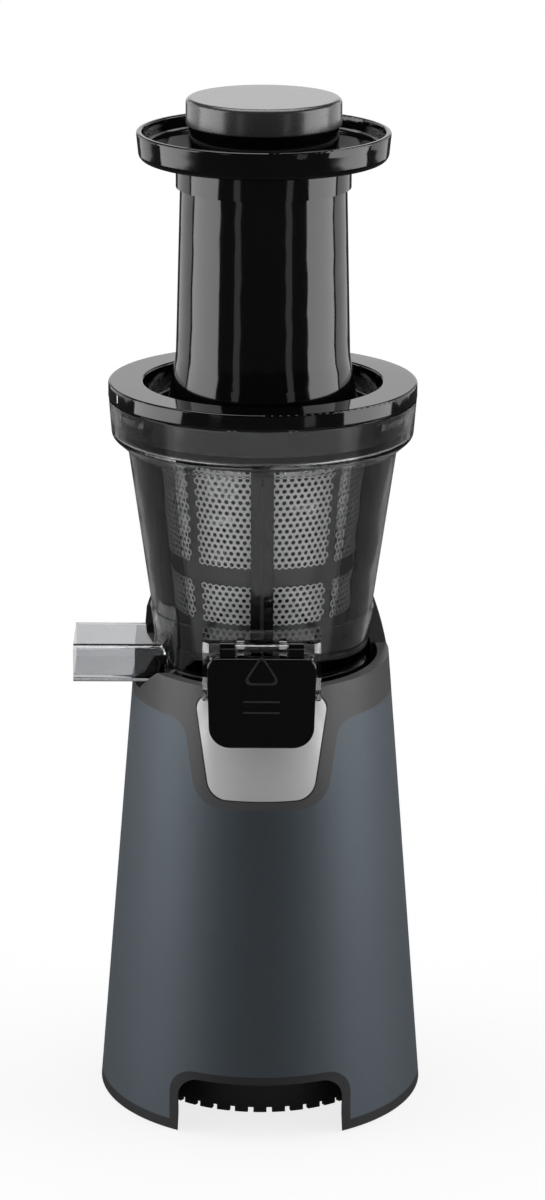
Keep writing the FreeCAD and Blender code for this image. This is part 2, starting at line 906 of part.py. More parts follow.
def motor_can():
    can = tube(motor_radius, motor_radius - motor_wall, motor_bottom, motor_top)
    floor = tube(motor_radius, bearing_radius + press_gap, motor_bottom, motor_bottom + motor_wall)
    seat = tube(bearing_radius + 2, bearing_radius + press_gap, motor_bottom, motor_bottom + bearing_height)
    return can.fuse(floor).fuse(seat)


def motor_magnets():
    outer = motor_radius - motor_wall - press_gap
    profile = [
        (outer - magnet_thickness, core_bottom - 3), (outer, core_bottom - 3),
        (outer, core_bottom + core_height + 3), (outer - magnet_thickness, core_bottom + core_height + 3)]
    return Part.makeCompound([spun_span(profile, side, magnet_span) for side in (90, 270)])


def commutator_bottom():
    return core_bottom + core_height + winding_height + 1


def motor_end_cap():
    """The brush end cap, which also carries the gearbox on its flat top."""
    cap = rod(motor_radius, motor_top, gearbox_bottom)
    spigot = tube(
        motor_radius - motor_wall - press_gap, motor_radius - motor_wall - 3, motor_top - 4, motor_top)
    cap = cap.fuse(spigot)
    low = commutator_bottom() + 1
    reach = commutator_radius + 2
    for way in (1, -1):
        holder = box(
            (reach, -brush_size / 2 - 1.5, low - 1.5),
            (motor_radius - motor_wall - 3.2, brush_size / 2 + 1.5, motor_top + 1))
        bore = box(
            (reach - 1, -brush_size / 2 - press_gap, low - press_gap),
            (reach + brush_length + 1, brush_size / 2 + press_gap, low + brush_size + press_gap))
        holder = holder.cut(bore)
        if way < 0:
            holder.rotate(ORIGIN, UP, 180)
        cap = cap.fuse(holder)
    return cap.cut(rod(bearing_radius + press_gap, motor_top - 1, gearbox_bottom + 1))


def carbon_brushes():
    low = commutator_bottom() + 1
    brushes = []
    for turn in (0, 180):
        block = box(
            (commutator_radius + running_gap, -brush_size / 2, low),
            (commutator_radius + brush_length, brush_size / 2, low + brush_size))
        block = block.cut(rod(commutator_radius + running_gap, low - 1, low + brush_size + 1))
        block.rotate(ORIGIN, UP, turn)
        brushes.append(block)
    return Part.makeCompound(brushes)


def motor_bearings():
    bore = shaft_radius + running_gap
    lower = tube(bearing_radius, bore, motor_bottom, motor_bottom + bearing_height)
    upper = tube(bearing_radius, bore, gearbox_bottom - bearing_height + 1, gearbox_bottom)
    return Part.makeCompound([lower, upper])


def motor_shaft():
    return rod(shaft_radius, shaft_bottom, first_gear_bottom + gear_width)


def armature_core():
    """The slotted stack of laminations on the motor shaft."""
    stack = tube(core_radius, shaft_radius + press_gap, core_bottom, core_bottom + core_height)
    slots = []
    for i in range(12):
        slot = rod(2.2, core_bottom - 1, core_bottom + core_height + 1, core_radius - 3.5, 0)
        slot = slot.fuse(
            box((core_radius - 3, -0.8, core_bottom - 1),
            (core_radius + 1, 0.8, core_bottom + core_height + 1)))
        slot.rotate(ORIGIN, UP, 30 * i)
        slots.append(slot)
    return stack.cut(Part.makeCompound(slots))


def armature_winding():
    """The copper overhangs at both ends of the stack."""
    inner = shaft_radius + press_gap
    outer = core_radius - 2
    rings = []
    for low in (core_bottom - winding_height, core_bottom + core_height):
        profile = [
            (inner, low), (outer, low, 3), (outer, low + winding_height, 3), (inner, low + winding_height)]
        rings.append(spun(profile))
    return Part.makeCompound(rings)


def commutator():
    low = commutator_bottom()
    body = tube(commutator_radius, shaft_radius + press_gap, low, low + commutator_height)
    cuts = []
    for i in range(12):
        cut = box(
            (commutator_radius - 1.2, -0.25, low - 1),
            (commutator_radius + 1, 0.25, low + commutator_height + 1))
        cut.rotate(ORIGIN, UP, 15 + 30 * i)
        cuts.append(cut)
    return body.cut(Part.makeCompound(cuts))


def cooling_fan():
    low = shaft_bottom + 0.5
    fan = tube(shaft_radius + 5, shaft_radius + press_gap, low, low + fan_height)
    disc = tube(fan_radius, shaft_radius + press_gap, low + fan_height - 1.5, low + fan_height)
    fan = fan.fuse(disc)
    for i in range(fan_blades):
        blade = box((shaft_radius + 3, -0.8, low), (fan_radius, 0.8, low + fan_height - 1))
        blade.rotate(V(shaft_radius + 3, 0, 0), UP, 18)
        blade.rotate(ORIGIN, UP, 360 * i / fan_blades)
        fan = fan.fuse(blade)
    return fan.common(rod(fan_radius, low, low + fan_height))


def sun_pinion():
    gear = outer_gear(gear_module, sun_teeth, first_gear_bottom, first_gear_bottom + gear_width, 0)
    return gear.cut(rod(shaft_radius + press_gap, first_gear_bottom - 1, first_gear_bottom + gear_width + 1))


def control_board():
    low = plate_top + board_lift
    board = box(
        (-board_width / 2, board_middle - board_depth / 2, low),
        (board_width / 2, board_middle + board_depth / 2, low + board_thickness))
    top = low + board_thickness
    board = board.fuse(rod(5, top, top + 14, -15, board_middle))
    board = board.fuse(box((0, board_middle - 7, top), (18, board_middle + 7, top + 11)))
    for x in (-board_width / 2 + 4, board_width / 2 - 4):
        for y in (board_middle - board_depth / 2 + 4, board_middle + board_depth / 2 - 4):
            board = board.fuse(rod(2.5, plate_top, low, x, y))
    return board


def switch_plane():
    """The depth of the rear face at the switch."""
    return half_depth(switch_height) + switch_proud


def switch_pivot():
    return switch_plane() - rocker_depth


def switch_bezel():
    """The rocker's frame, a box open to the back and set in the shell."""
    wide = switch_half_width - screw_slack
    high = switch_half_height - screw_slack
    face = [
        (-wide, switch_height - high, 2), (-wide, switch_height + high, 2),
        (wide, switch_height + high, 2), (wide, switch_height - high, 2)]
    body = front_prism(face, switch_plane() - switch_depth, switch_plane())
    hollow = box(
        (-wide + switch_wall, switch_plane() - switch_depth + switch_wall,
        switch_height - high + switch_wall),
        (wide - switch_wall, switch_plane() + 1, switch_height + high - switch_wall))
    body = body.cut(hollow)
    hole = Part.makeCylinder(
        rocker_pin_radius + running_gap, 2 * wide - switch_wall,
        V(-wide + switch_wall / 2, switch_pivot(), switch_height),
        V(1, 0, 0))
    return body.cut(hole)


def rocker_switch():
    """A three way rocker: its face is a shallow V about the middle."""
    wide = switch_half_width - screw_slack - switch_wall - rocker_gap
    pivot = switch_pivot()
    outline = [
        (pivot - 4, switch_height - rocker_half_height + 2, 1),
        (pivot + rocker_depth, switch_height - rocker_half_height, 1),
        (pivot + rocker_depth - rocker_swell, switch_height, 8),
        (pivot + rocker_depth, switch_height + rocker_half_height, 1),
        (pivot - 4, switch_height + rocker_half_height - 2, 1)]
    body = side_prism(outline, wide)
    reach = wide + rocker_gap + switch_wall / 2 - 0.2
    pin = Part.makeCylinder(rocker_pin_radius, 2 * reach, V(-reach, pivot, switch_height), V(1, 0, 0))
    return body.fuse(pin)


def cord_gland():
    """The lead's inlet: a flanged sleeve through the back of the shell."""
    face = half_depth(gland_height)
    behind = face - shell_wall
    flange = Part.makeCylinder(
        gland_flange, shell_wall + gland_flange_thickness, V(0, behind, gland_height), V(0, 1, 0))
    flange = flange.cut(oval_block(gland_height - 2 * gland_flange, gland_height + 2 * gland_flange, 0))
    sleeve = Part.makeCylinder(
        gland_radius, gland_depth, V(0, face + 0.5 - gland_depth, gland_height), V(0, 1, 0))
    bore = Part.makeCylinder(
        gland_bore, 3 * gland_depth, V(0, face - 2 * gland_depth, gland_height), V(0, 1, 0))
    return flange.fuse(sleeve).cut(bore)


def spout_section(half, low, high, corner, start, end):
    """A rounded rectangle in Y and Z, run along X from start to end."""
    points = [(-half, low, corner), (-half, high, corner), (half, high, corner), (half, low, corner)]
    face = rounded_face(points, lambda u, v: V(start, u, v))
    return face.extrude(V(end - start, 0, 0))


def root_section(extra, start, end):
    """The foot's spout root, or the bore left for it."""
    gap = spout_wall + root_gap
    return spout_section(
        spout_half_width - gap + extra, spout_bottom + gap - extra, spout_top - gap + extra,
        spout_corner - 1.5, start, end)


def bowl_foot():
    """The black foot ring with the bowl's floor and the root of the spout."""
    hole = packing_radius + press_gap
    ring = tube(foot_ring_radius, foot_ring_radius - foot_ring_wall, deck_top, foot_ring_top)
    floor = tube(foot_ring_radius - 1, hole, bowl_floor, bowl_floor_top)
    foot = ring.fuse(floor)
    root = root_section(0, -root_tip, -foot_ring_radius + foot_ring_wall + 2)
    foot = foot.fuse(root.cut(rod(foot_ring_radius - foot_ring_wall, deck_top, spout_top)))
    foot = foot.cut(root_section(-root_wall, -root_tip - 1, -foot_ring_radius + foot_ring_wall - 3))
    pin_hole = rod(idler_pin_radius + press_gap, bowl_floor - 1, bowl_floor_top + 1, 0, idler_circle)
    return foot.cut(pin_hole)


def bowl_packing():
    profile = [
        (output_radius + root_gap, bowl_floor - 2), (packing_radius + 3, bowl_floor - 2),
        (packing_radius + 3, bowl_floor), (packing_radius, bowl_floor), (packing_radius, bowl_floor_top),
        (output_radius + root_gap, bowl_floor_top)]
    return spun(profile)


def duct_outline(wall):
    root = 40.0
    bend = -half_depth(rim_height) - 1
    fall = (duct_root_bottom - duct_mouth_bottom) / (duct_front + bend)
    return [
        (-root, duct_root_bottom + wall), (bend, duct_root_bottom + wall, 4),
        (-duct_front - wall, duct_mouth_bottom + wall - fall * wall),
        (-duct_front - wall, duct_mouth_top - wall), (-duct_front + 9, duct_top - wall, 3),
        (-root, duct_top - wall)]


def juice_bowl():
    """The clear bowl: cone, flange, side recesses, bayonet lugs and the pulp duct."""
    lean = bowl_wall
    profile = [
        (bowl_bottom_radius - lean, foot_ring_top), (bowl_bottom_radius, foot_ring_top),
        (bowl_neck_radius, bowl_neck, 2), (bowl_shoulder_radius, bowl_shoulder, 4),
        (bowl_top_radius, bowl_top), (bowl_top_radius - lean, bowl_top),
        (bowl_shoulder_radius - lean, bowl_shoulder + 1.4, 3), (bowl_neck_radius - lean, bowl_neck + 1, 2)]
    bowl = spun(profile)
    skin = [
        (bowl_radius(recess_bottom) - recess_depth, recess_bottom),
        (bowl_radius(recess_bottom) + 2, recess_bottom),
        (bowl_radius(bowl_neck) + 2, bowl_neck), (bowl_radius(bowl_neck) - recess_depth, bowl_neck)]
    for side in (90, 270):
        bowl = bowl.cut(spun_span(skin, side, 180 - 2 * recess_angle))
    inside = Part.makeCone(
        bowl_radius(foot_ring_top) - lean, bowl_radius(bowl_neck) - lean, bowl_neck - foot_ring_top,
        V(0, 0, foot_ring_top))
    duct = side_prism(duct_outline(0), duct_half_width).common(
        box((-cutter_reach, -cutter_reach, foot_ring_top), (cutter_reach, 0, cutter_reach)))
    bowl = bowl.fuse(duct.cut(inside))
    bowl = bowl.cut(side_prism(duct_outline(duct_wall), duct_half_width - duct_wall))
    for way in (1, -1):
        lug = Part.makeCylinder(
            hinge_radius, lug_outer - lug_inner, V(lug_inner, -duct_front, hinge_height), V(1, 0, 0))
        web = box(
            (lug_inner, -duct_front, duct_mouth_top - 2),
            (lug_outer, -duct_front + 9, hinge_height + hinge_radius - 1))
        lug = lug.fuse(web.common(side_prism(duct_outline(-2.6), duct_half_width)))
        if way < 0:
            lug = lug.mirror(ORIGIN, V(1, 0, 0))
        bowl = bowl.fuse(lug)
    for start in (ear_inner - cover_gap, -ear_outer - cover_gap):
        bowl = bowl.cut(Part.makeCylinder(
            hinge_radius + cover_gap, ear_outer - ear_inner + 2 * cover_gap,
            V(start, -duct_front, hinge_height), V(1, 0, 0)))
    bowl = bowl.cut(Part.makeCylinder(
        hinge_pin_radius + press_gap, 2 * ear_outer, V(-ear_outer, -duct_front, hinge_height), V(1, 0, 0)))
    bowl = bowl.cut(root_section(root_gap, -spout_tip, -20))
    low = lid_lug_bottom + lug_height + bowl_lug_gap
    wall = bowl_top_radius - lean / 2
    lug_profile = [
        (bowl_lug_radius, low), (wall - 1, low), (wall - 1, low + lug_height),
        (bowl_lug_radius, low + lug_height)]
    for i in range(lug_count):
        bowl = bowl.fuse(spun_span(lug_profile, lug_first + 360 * i / lug_count, lug_span))
    for angle in (rib_angle, rib_angle + rib_spacing):
        for way in (1, -1):
            rib = box(
                (-rib_width / 2, -bowl_top_radius - rib_proud + 0.8, rib_bottom),
                (rib_width / 2, -bowl_top_radius + 1.5, bowl_top))
            rib.rotate(ORIGIN, UP, way * angle)
            bowl = bowl.fuse(rib)
    return bowl


def juice_spout():
    """The clear mouth of the spout, sleeved over the foot's root."""
    outer = spout_section(spout_half_width, spout_bottom, spout_top, spout_corner, -spout_tip, -30)
    inner = spout_section(
        spout_half_width - spout_wall, spout_bottom + spout_wall, spout_top - spout_wall,
        spout_corner - spout_wall / 2, -spout_tip - 1, -29)
    keep_out = rod(foot_ring_radius + running_gap, deck_top, foot_ring_top + running_gap)
    cone = Part.makeCone(
        bowl_radius(foot_ring_top) + running_gap, bowl_radius(bowl_neck) + running_gap,
        bowl_neck - foot_ring_top, V(0, 0, foot_ring_top))
    return outer.cut(inner).cut(keep_out).cut(cone)


def cone_band(inner, outer, low, high):
    """A profile between two offsets from the strainer's outer face."""
    return [
        (strainer_radius(low) + inner, low), (strainer_radius(low) + outer, low),
        (strainer_radius(high) + outer, high), (strainer_radius(high) + inner, high)]


def window_heights():
    return ((lower_window_bottom, lower_window_top), (upper_window_bottom, upper_window_top))


def strainer_frame():
    """The strainer basket: a cone with windows, a hanging flange and a floor."""
    frame = spun(cone_band(-strainer_wall, 0, strainer_bottom, strainer_top))
    under = strainer_top - strainer_flange
    inner_slope = (bowl_shoulder_radius - bowl_neck_radius) / (bowl_shoulder + 0.4 - bowl_neck)
    reach = bowl_neck_radius - bowl_wall + (under - bowl_neck - 1) * inner_slope - strainer_flange_gap
    frame = frame.fuse(tube(reach, strainer_top_radius - strainer_wall, under, strainer_top))
    floor = tube(
        strainer_bottom_radius, strainer_floor_hole, strainer_bottom, strainer_bottom + strainer_wall)
    slot = [
        (pulp_slot_inner, strainer_bottom - 1), (pulp_slot_outer, strainer_bottom - 1),
        (pulp_slot_outer, strainer_bottom + 5), (pulp_slot_inner, strainer_bottom + 5)]
    frame = frame.fuse(floor.cut(spun_span(slot, 0, 2 * pulp_slot_half_angle)))
    for low, high in window_heights():
        for side in range(4):
            band = cone_band(-strainer_wall - 1, 1, low, high)
            frame = frame.cut(spun_span(band, 90 * side, 2 * window_half_angle))
    return frame


def strainer_mesh():
    """The steel screens, one curved sheet in each window of the basket."""
    sheets = []
    middle = -strainer_wall / 2
    for low, high in window_heights():
        for side in range(4):
            band = cone_band(
                middle - mesh_thickness / 2, middle + mesh_thickness / 2, low + press_gap, high - press_gap)
            sheets.append(spun_span(band, 90 * side, 2 * window_half_angle - 0.1))
    return Part.makeCompound(sheets)


def idler_pin():
    return rod(idler_pin_radius, bowl_floor, bowl_gear_top + 1, 0, idler_circle)


def idler_gear():
    """The gear between the auger and the cage, with gaps on the line of centres."""
    gear = outer_gear(bowl_module, idler_teeth, bowl_gear_bottom, bowl_gear_top, 90 + 180 / idler_teeth)
    gear = gear.cut(rod(idler_pin_radius + running_gap, bowl_gear_bottom - 1, bowl_gear_top + 1))
    gear.translate(V(0, idler_circle, 0))
    return gear


def brush_cage():
    """A rotating cage: toothed ring at the bottom, posts and a top ring."""
    ring = inner_gear(
        bowl_module, cage_teeth, cage_ring_radius, bowl_gear_bottom, bowl_gear_top, 90 + 180 / cage_teeth)
    low_band = [
        (cage_ring_radius - cage_ring_wall + 0.4, bowl_gear_top - 1), (cage_ring_radius, bowl_gear_top - 1),
        (strainer_radius(strainer_bottom + 4) + cage_gap + cage_thickness, strainer_bottom + 4),
        (strainer_radius(strainer_bottom + 4) + cage_gap, strainer_bottom + 4)]
    cage = ring.fuse(spun(low_band))
    cage = cage.fuse(spun(cone_band(cage_gap, cage_gap + cage_thickness, cage_top - cage_top_ring, cage_top)))
    for i in range(cage_posts):
        band = cone_band(cage_gap, cage_gap + cage_thickness, strainer_bottom + 3, cage_top - 1)
        post = spun_span(band, 0, 40).common(
            box((-post_width / 2, -cutter_reach, 0), (post_width / 2, 0, cage_top)))
        post.rotate(ORIGIN, UP, 90 * i)
        cage = cage.fuse(post)
    return cage


def brush_wipers():
    """Silicone blades on the posts: one sweeps the bowl, one the strainer."""
    blades = []
    outer_low = bowl_radius(blade_bottom) - bowl_wall - blade_gap
    outer_high = bowl_radius(blade_top) - bowl_wall - blade_gap
    post_face = cage_gap + cage_thickness
    seat = cage_gap - running_gap
    low = [strainer_radius(blade_bottom) + post_face, strainer_radius(blade_top) + post_face]
    outer = [
        (-low[0], blade_bottom), (-outer_low, blade_bottom, 1), (-outer_high, blade_top, 1),
        (-low[1], blade_top)]
    inner = [
        (-strainer_radius(blade_bottom) - seat, blade_bottom),
        (-strainer_radius(blade_bottom) - blade_gap, blade_bottom),
        (-strainer_radius(blade_top) - blade_gap, blade_top), (-strainer_radius(blade_top) - seat, blade_top)]
    for i in range(cage_posts):
        for outline, width in ((outer, blade_width), (inner, inner_blade_width)):
            blade = side_prism(outline, width / 2)
            blade.rotate(ORIGIN, UP, 90 * i)
            blades.append(blade)
    return Part.makeCompound(blades)


def auger_screw():
    """The pressing screw: gear at the foot, tapered core, flight and top pin."""
    gear = outer_gear(bowl_module, auger_teeth, bowl_gear_bottom, bowl_gear_top, 90)
    core = spun([
        (0, bowl_gear_top - 1), (auger_neck_radius - 3.5, bowl_gear_top - 1),
        (auger_neck_radius - 3.5, bowl_gear_top),
        (auger_neck_radius, bowl_gear_top), (auger_neck_radius, strainer_bottom + 3, 1),
        (auger_root_radius, auger_root_height, 2), (auger_tip_radius, auger_tip_height, 4),
        (auger_tip_radius - 1, auger_top, 1), (auger_pin_radius, auger_top),
        (auger_pin_radius, auger_pin_top, 0.8),
        (0, auger_pin_top)])
    height = flight_pitch * flight_turns
    start = strainer_radius(flight_bottom) - strainer_wall - flight_gap
    helix = Part.makeHelix(flight_pitch, height, start, math.degrees(math.atan(strainer_slope)))
    half = flight_thickness / 2
    reach = start - auger_tip_radius + 3
    section = Part.makePolygon([
        V(start, 0, -half), V(start, 0, half), V(start - reach, 0, half + 1), V(start - reach, 0, -half - 1),
        V(start, 0, -half)])
    flight = Part.Wire(helix.Edges).makePipeShell([section], True, True)
    flight.translate(V(0, 0, flight_bottom))
    body = gear.fuse(core).fuse(flight)
    return body.cut(rod(socket_radius + press_gap, bowl_gear_bottom - 1, socket_top))


def auger_socket():
    block = rod(socket_radius, bowl_gear_bottom, socket_top - press_gap)
    return block.cut(hex_prism(hex_flats + hex_play, bowl_gear_bottom - 1, hex_top + 1))


def lid():
    """The lid ring, its sunk floor, the feed tube and the auger's top bearing hub."""
    web = lid_inner + lid_web
    skirt_inner = skirt_radius - 2.6
    profile = [
        (lid_radius, lid_bottom, 0.6), (lid_radius, lid_top, 1.2), (lid_inner, lid_top, 1),
        (lid_inner - 1, lid_floor, 3), (tube_foot_radius + 4.4, lid_floor, tube_fillet),
        (tube_foot_radius, tube_foot), (tube_top_radius, tube_top), (tube_bore, tube_top),
        (tube_bore, lid_floor - lid_floor_thickness), (web, lid_floor - lid_floor_thickness),
        (web, lid_top - 3), (skirt_inner, lid_top - 3), (skirt_inner, skirt_bottom),
        (skirt_radius, skirt_bottom), (skirt_radius, lid_bottom)]
    body = spun(profile)
    boss = Part.Ellipse(V(0, -boss_back, lid_floor - 1), boss_half_width, boss_front - boss_back).toShape()
    boss = Part.Face(Part.Wire(boss)).extrude(V(0, 0, lid_boss_top - lid_floor + 1))
    top_edges = [edge for edge in boss.Edges if edge.BoundBox.ZMin > lid_boss_top - 0.01]
    boss = boss.makeFillet(1.5, top_edges)
    bridge = box(
        (-bridge_half_width, -lid_inner - 1, lid_floor - 1),
        (bridge_half_width, -boss_back - 4, lid_top - 1.2))
    extras = boss.fuse(bridge).cut(rod(tube_bore + 1, lid_floor - 2, lid_boss_top + 1))
    body = body.fuse(extras)
    spider = box(
        (-tube_bore - 1.5, -spider_width / 2, lid_floor - lid_floor_thickness),
        (tube_bore + 1.5, spider_width / 2, spider_top))
    spider = spider.fuse(
        box((-tube_bore + 4, -spider_width / 2, spider_bottom),
        (tube_bore - 4, spider_width / 2, spider_top)))
    hub = rod(hub_radius, hub_bottom, spider_top)
    body = body.fuse(spider.fuse(hub))
    body = body.cut(
        rod(auger_pin_radius + running_gap + lid_bush_wall + press_gap, hub_bottom - 1, auger_pin_top + 2))
    lug = [
        (skirt_radius - 1, lid_lug_bottom), (lid_lug_radius, lid_lug_bottom),
        (lid_lug_radius, lid_lug_bottom + lug_height), (skirt_radius - 1, lid_lug_bottom + lug_height)]
    for i in range(lug_count):
        body = body.fuse(spun_span(lug, lug_first + 360 * i / lug_count, lug_span))
    stop = [
        (skirt_radius - 1, stop_bottom), (stop_radius, stop_bottom), (stop_radius, lid_bottom + 1),
        (skirt_radius - 1, lid_bottom + 1)]
    return body.fuse(spun_span(stop, 0, 2 * stop_half_angle))


def lid_gasket():
    """The soft ring round the skirt, broken where the front stop stands."""
    low = lid_bottom - gasket_height
    outer = stop_radius
    profile = [
        (skirt_radius + press_gap, low), (outer, low, 0.4), (outer, lid_bottom, 0.4),
        (skirt_radius + press_gap, lid_bottom)]
    return spun_span(profile, 180, 360 - 2 * stop_half_angle - 1)


def lid_bush():
    inner = auger_pin_radius + running_gap
    return tube(inner + lid_bush_wall, inner, hub_bottom, auger_pin_top + 1)


def hopper_tray():
    """The round tray pressed over the top of the feed tube."""
    sleeve_inner = tube_top_radius + 0.3
    profile = [
        (sleeve_inner, sleeve_bottom), (sleeve_radius, sleeve_bottom), (sleeve_radius, tray_bottom, 1),
        (tray_radius - 1.3, tray_bottom, 3.5), (tray_radius, tray_top, 1),
        (tray_radius - tray_wall, tray_top, 0.8),
        (tray_radius - tray_wall - 0.8, tray_floor + 2, 2.5), (tube_bore + 1.5, tray_floor, 1),
        (tube_bore, tray_floor - 1.5), (tube_bore, tube_top), (sleeve_inner, tube_top)]
    return spun(profile)


def pusher():
    """The hollow plunger that fills the feed tube."""
    cup = rod(pusher_radius, pusher_bottom, pusher_top)
    low_edge = [edge for edge in cup.Edges if edge.BoundBox.ZMax < pusher_bottom + 0.01]
    cup = cup.makeFillet(2, low_edge)
    return cup.cut(rod(pusher_radius - pusher_wall, pusher_bottom + pusher_wall, pusher_top + 1))


def pusher_cap():
    plug = pusher_radius - pusher_wall - press_gap
    profile = [
        (0, pusher_top - cap_plug), (plug, pusher_top - cap_plug, 0.5), (plug, pusher_top),
        (cap_radius, pusher_top, 0.8),
        (cap_radius, cap_top, cap_edge), (0, cap_top)]
    return spun(profile)


def cover_outline(play):
    top = cover_half_width - play
    low = cover_half_width - cover_taper - play
    return [
        (-top, cover_top - play, cover_top_corner),
        (-low, cover_bottom + play, cover_bottom_corner - play),
        (low, cover_bottom + play, cover_bottom_corner - play),
        (top, cover_top - play, cover_top_corner)]


def pulp_cover():
    """The flap over the pulp duct: a dished plate with two hinge ears."""
    front = cover_back + cover_thickness
    block = front_prism(cover_outline(0), -front, -cover_back)
    front_edges = [edge for edge in block.Edges if edge.BoundBox.YMax < -front + 0.01]
    block = block.makeFillet(1.2, front_edges)
    below = duct_mouth_bottom - 2
    hollow = front_prism(cover_outline(cover_wall), -front + cover_wall, -cover_back + 1)
    block = block.cut(hollow.common(box((-cutter_reach, -cutter_reach, 0), (cutter_reach, 0, below))))
    for way in (1, -1):
        ear = Part.makeCylinder(
            hinge_radius, ear_outer - ear_inner, V(ear_inner, -duct_front, hinge_height), V(1, 0, 0))
        arm = box((ear_inner, -front + 2, duct_mouth_top + cover_gap), (ear_outer, -duct_front, hinge_height))
        arm = arm.fuse(
            box((ear_inner, -front + 2, cover_top - 5), (ear_outer, -cover_back, hinge_height + 1)))
        ear = ear.fuse(arm)
        if way < 0:
            ear = ear.mirror(ORIGIN, V(1, 0, 0))
        block = block.fuse(ear)
    block = block.cut(side_prism(hinge_pocket(), lug_outer + (ear_inner - lug_outer) / 2))
    pin = Part.makeCylinder(
        hinge_pin_radius + running_gap, 2 * ear_outer + 2, V(-ear_outer - 1, -duct_front, hinge_height),
        V(1, 0, 0))
    return block.cut(pin)


def hinge_pocket():
    """The relief in the cover behind the bowl's hinge lugs."""
    reach = hinge_radius + 0.5
    return [
        (-duct_front - reach, hinge_height - reach), (-duct_front - reach, hinge_height + reach),
        (-duct_front + reach, hinge_height + reach), (-duct_front + reach, hinge_height - reach)]


def cover_pin():
    return Part.makeCylinder(
        hinge_pin_radius, 2 * ear_outer, V(-ear_outer, -duct_front, hinge_height), V(1, 0, 0))


def cover_seal():
    """The soft plug on the cover's back, inside the duct's mouth."""
    wide = duct_half_width - duct_wall - seal_gap
    low = duct_mouth_bottom + duct_wall + seal_gap
    high = duct_mouth_top - duct_wall - seal_gap
    points = [(-wide, low, 3), (-wide, high, 3), (wide, high, 3), (wide, low, 3)]
    return front_prism(points, -cover_back, -cover_back + seal_depth)


def parts():
    """Every piece by its node name."""
    made = {
        "base_shell": base_shell, "trim_skirt": trim_skirt, "rubber_feet": rubber_feet,
        "base_plate": base_plate, "base_screws": base_screws, "collar": collar,
        "steel_panel": steel_panel, "rear_shroud": rear_shroud, "deck": deck,
        "shaft_seal": shaft_seal, "gear_screws": gear_screws, "gearbox_lid": gearbox_lid,
        "output_bushes": output_bushes, "gearbox_housing": gearbox_housing, "ring_gear": ring_gear,
        "first_carrier": first_carrier, "second_carrier": second_carrier, "output_shaft": output_shaft,
        "motor_can": motor_can, "motor_magnets": motor_magnets, "motor_end_cap": motor_end_cap,
        "carbon_brushes": carbon_brushes, "motor_bearings": motor_bearings, "motor_shaft": motor_shaft,
        "armature_core": armature_core, "armature_winding": armature_winding, "commutator": commutator,
        "cooling_fan": cooling_fan, "sun_pinion": sun_pinion, "control_board": control_board,
        "switch_bezel": switch_bezel, "rocker_switch": rocker_switch, "cord_gland": cord_gland,
        "bowl_foot": bowl_foot, "bowl_packing": bowl_packing, "juice_bowl": juice_bowl,
        "juice_spout": juice_spout, "strainer_frame": strainer_frame, "strainer_mesh": strainer_mesh,
        "idler_pin": idler_pin, "idler_gear": idler_gear, "brush_cage": brush_cage,
        "brush_wipers": brush_wipers, "auger_screw": auger_screw, "auger_socket": auger_socket,
        "lid": lid, "lid_gasket": lid_gasket, "lid_bush": lid_bush, "hopper_tray": hopper_tray,
        "pusher": pusher, "pusher_cap": pusher_cap, "pulp_cover": pulp_cover, "cover_pin": cover_pin,
        "cover_seal": cover_seal}
    for i in range(planet_count):
        made[f"first_planet_{i + 1}"] = lambda i=i: planet_gear(i, first_gear_bottom)
        made[f"second_planet_{i + 1}"] = lambda i=i: planet_gear(i, second_gear_bottom)
    return made


os.makedirs("parts", exist_ok=True)
for node, make in parts().items():
    shape = make()
    if not shape.isValid() or shape.Volume <= 0:
        print("check", node, shape.isValid(), round(shape.Volume, 2))
    shape.exportStep(f"parts/{node}.step")
    print(node, len(shape.Solids), round(shape.Volume / 1000, 2), "cm3")
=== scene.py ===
"""The looks of a cold press juicer with a painted base, a smoked bowl and a black feed tube.

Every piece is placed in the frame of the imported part, in metres, with the front towards -Y.
"""

import math

import bmesh
import bpy
from bpy.props import FloatProperty, FloatVectorProperty, PointerProperty
from mathutils import Matrix, Vector


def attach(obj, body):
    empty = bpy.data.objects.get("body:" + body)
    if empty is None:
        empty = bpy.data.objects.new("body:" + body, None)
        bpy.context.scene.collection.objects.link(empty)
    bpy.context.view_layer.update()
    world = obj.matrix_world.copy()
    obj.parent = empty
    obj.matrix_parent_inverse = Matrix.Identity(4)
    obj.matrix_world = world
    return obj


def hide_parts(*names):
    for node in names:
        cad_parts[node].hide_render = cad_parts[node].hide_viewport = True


bl_info = {
    "name": "Cold press juicer looks",
    "version": (1, 0, 0),
    "blender": (4, 5, 0),
    "location": "3D View > Sidebar > Juicer",
    "description": "Builds the finishes, detail pieces, lights and camera of a cold press juicer",
    "category": "Object",
}

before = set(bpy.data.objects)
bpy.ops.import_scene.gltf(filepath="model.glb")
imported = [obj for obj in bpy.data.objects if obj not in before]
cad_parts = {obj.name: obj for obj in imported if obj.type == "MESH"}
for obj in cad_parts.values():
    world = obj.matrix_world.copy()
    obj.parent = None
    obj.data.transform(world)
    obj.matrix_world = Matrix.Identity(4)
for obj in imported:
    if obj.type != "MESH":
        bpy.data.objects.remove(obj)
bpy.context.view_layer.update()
MM = 0.001
SIDE_PANEL_TURN = math.radians(39.0)
SIDE_PANEL_BLEND = math.radians(0.6)


# Settings


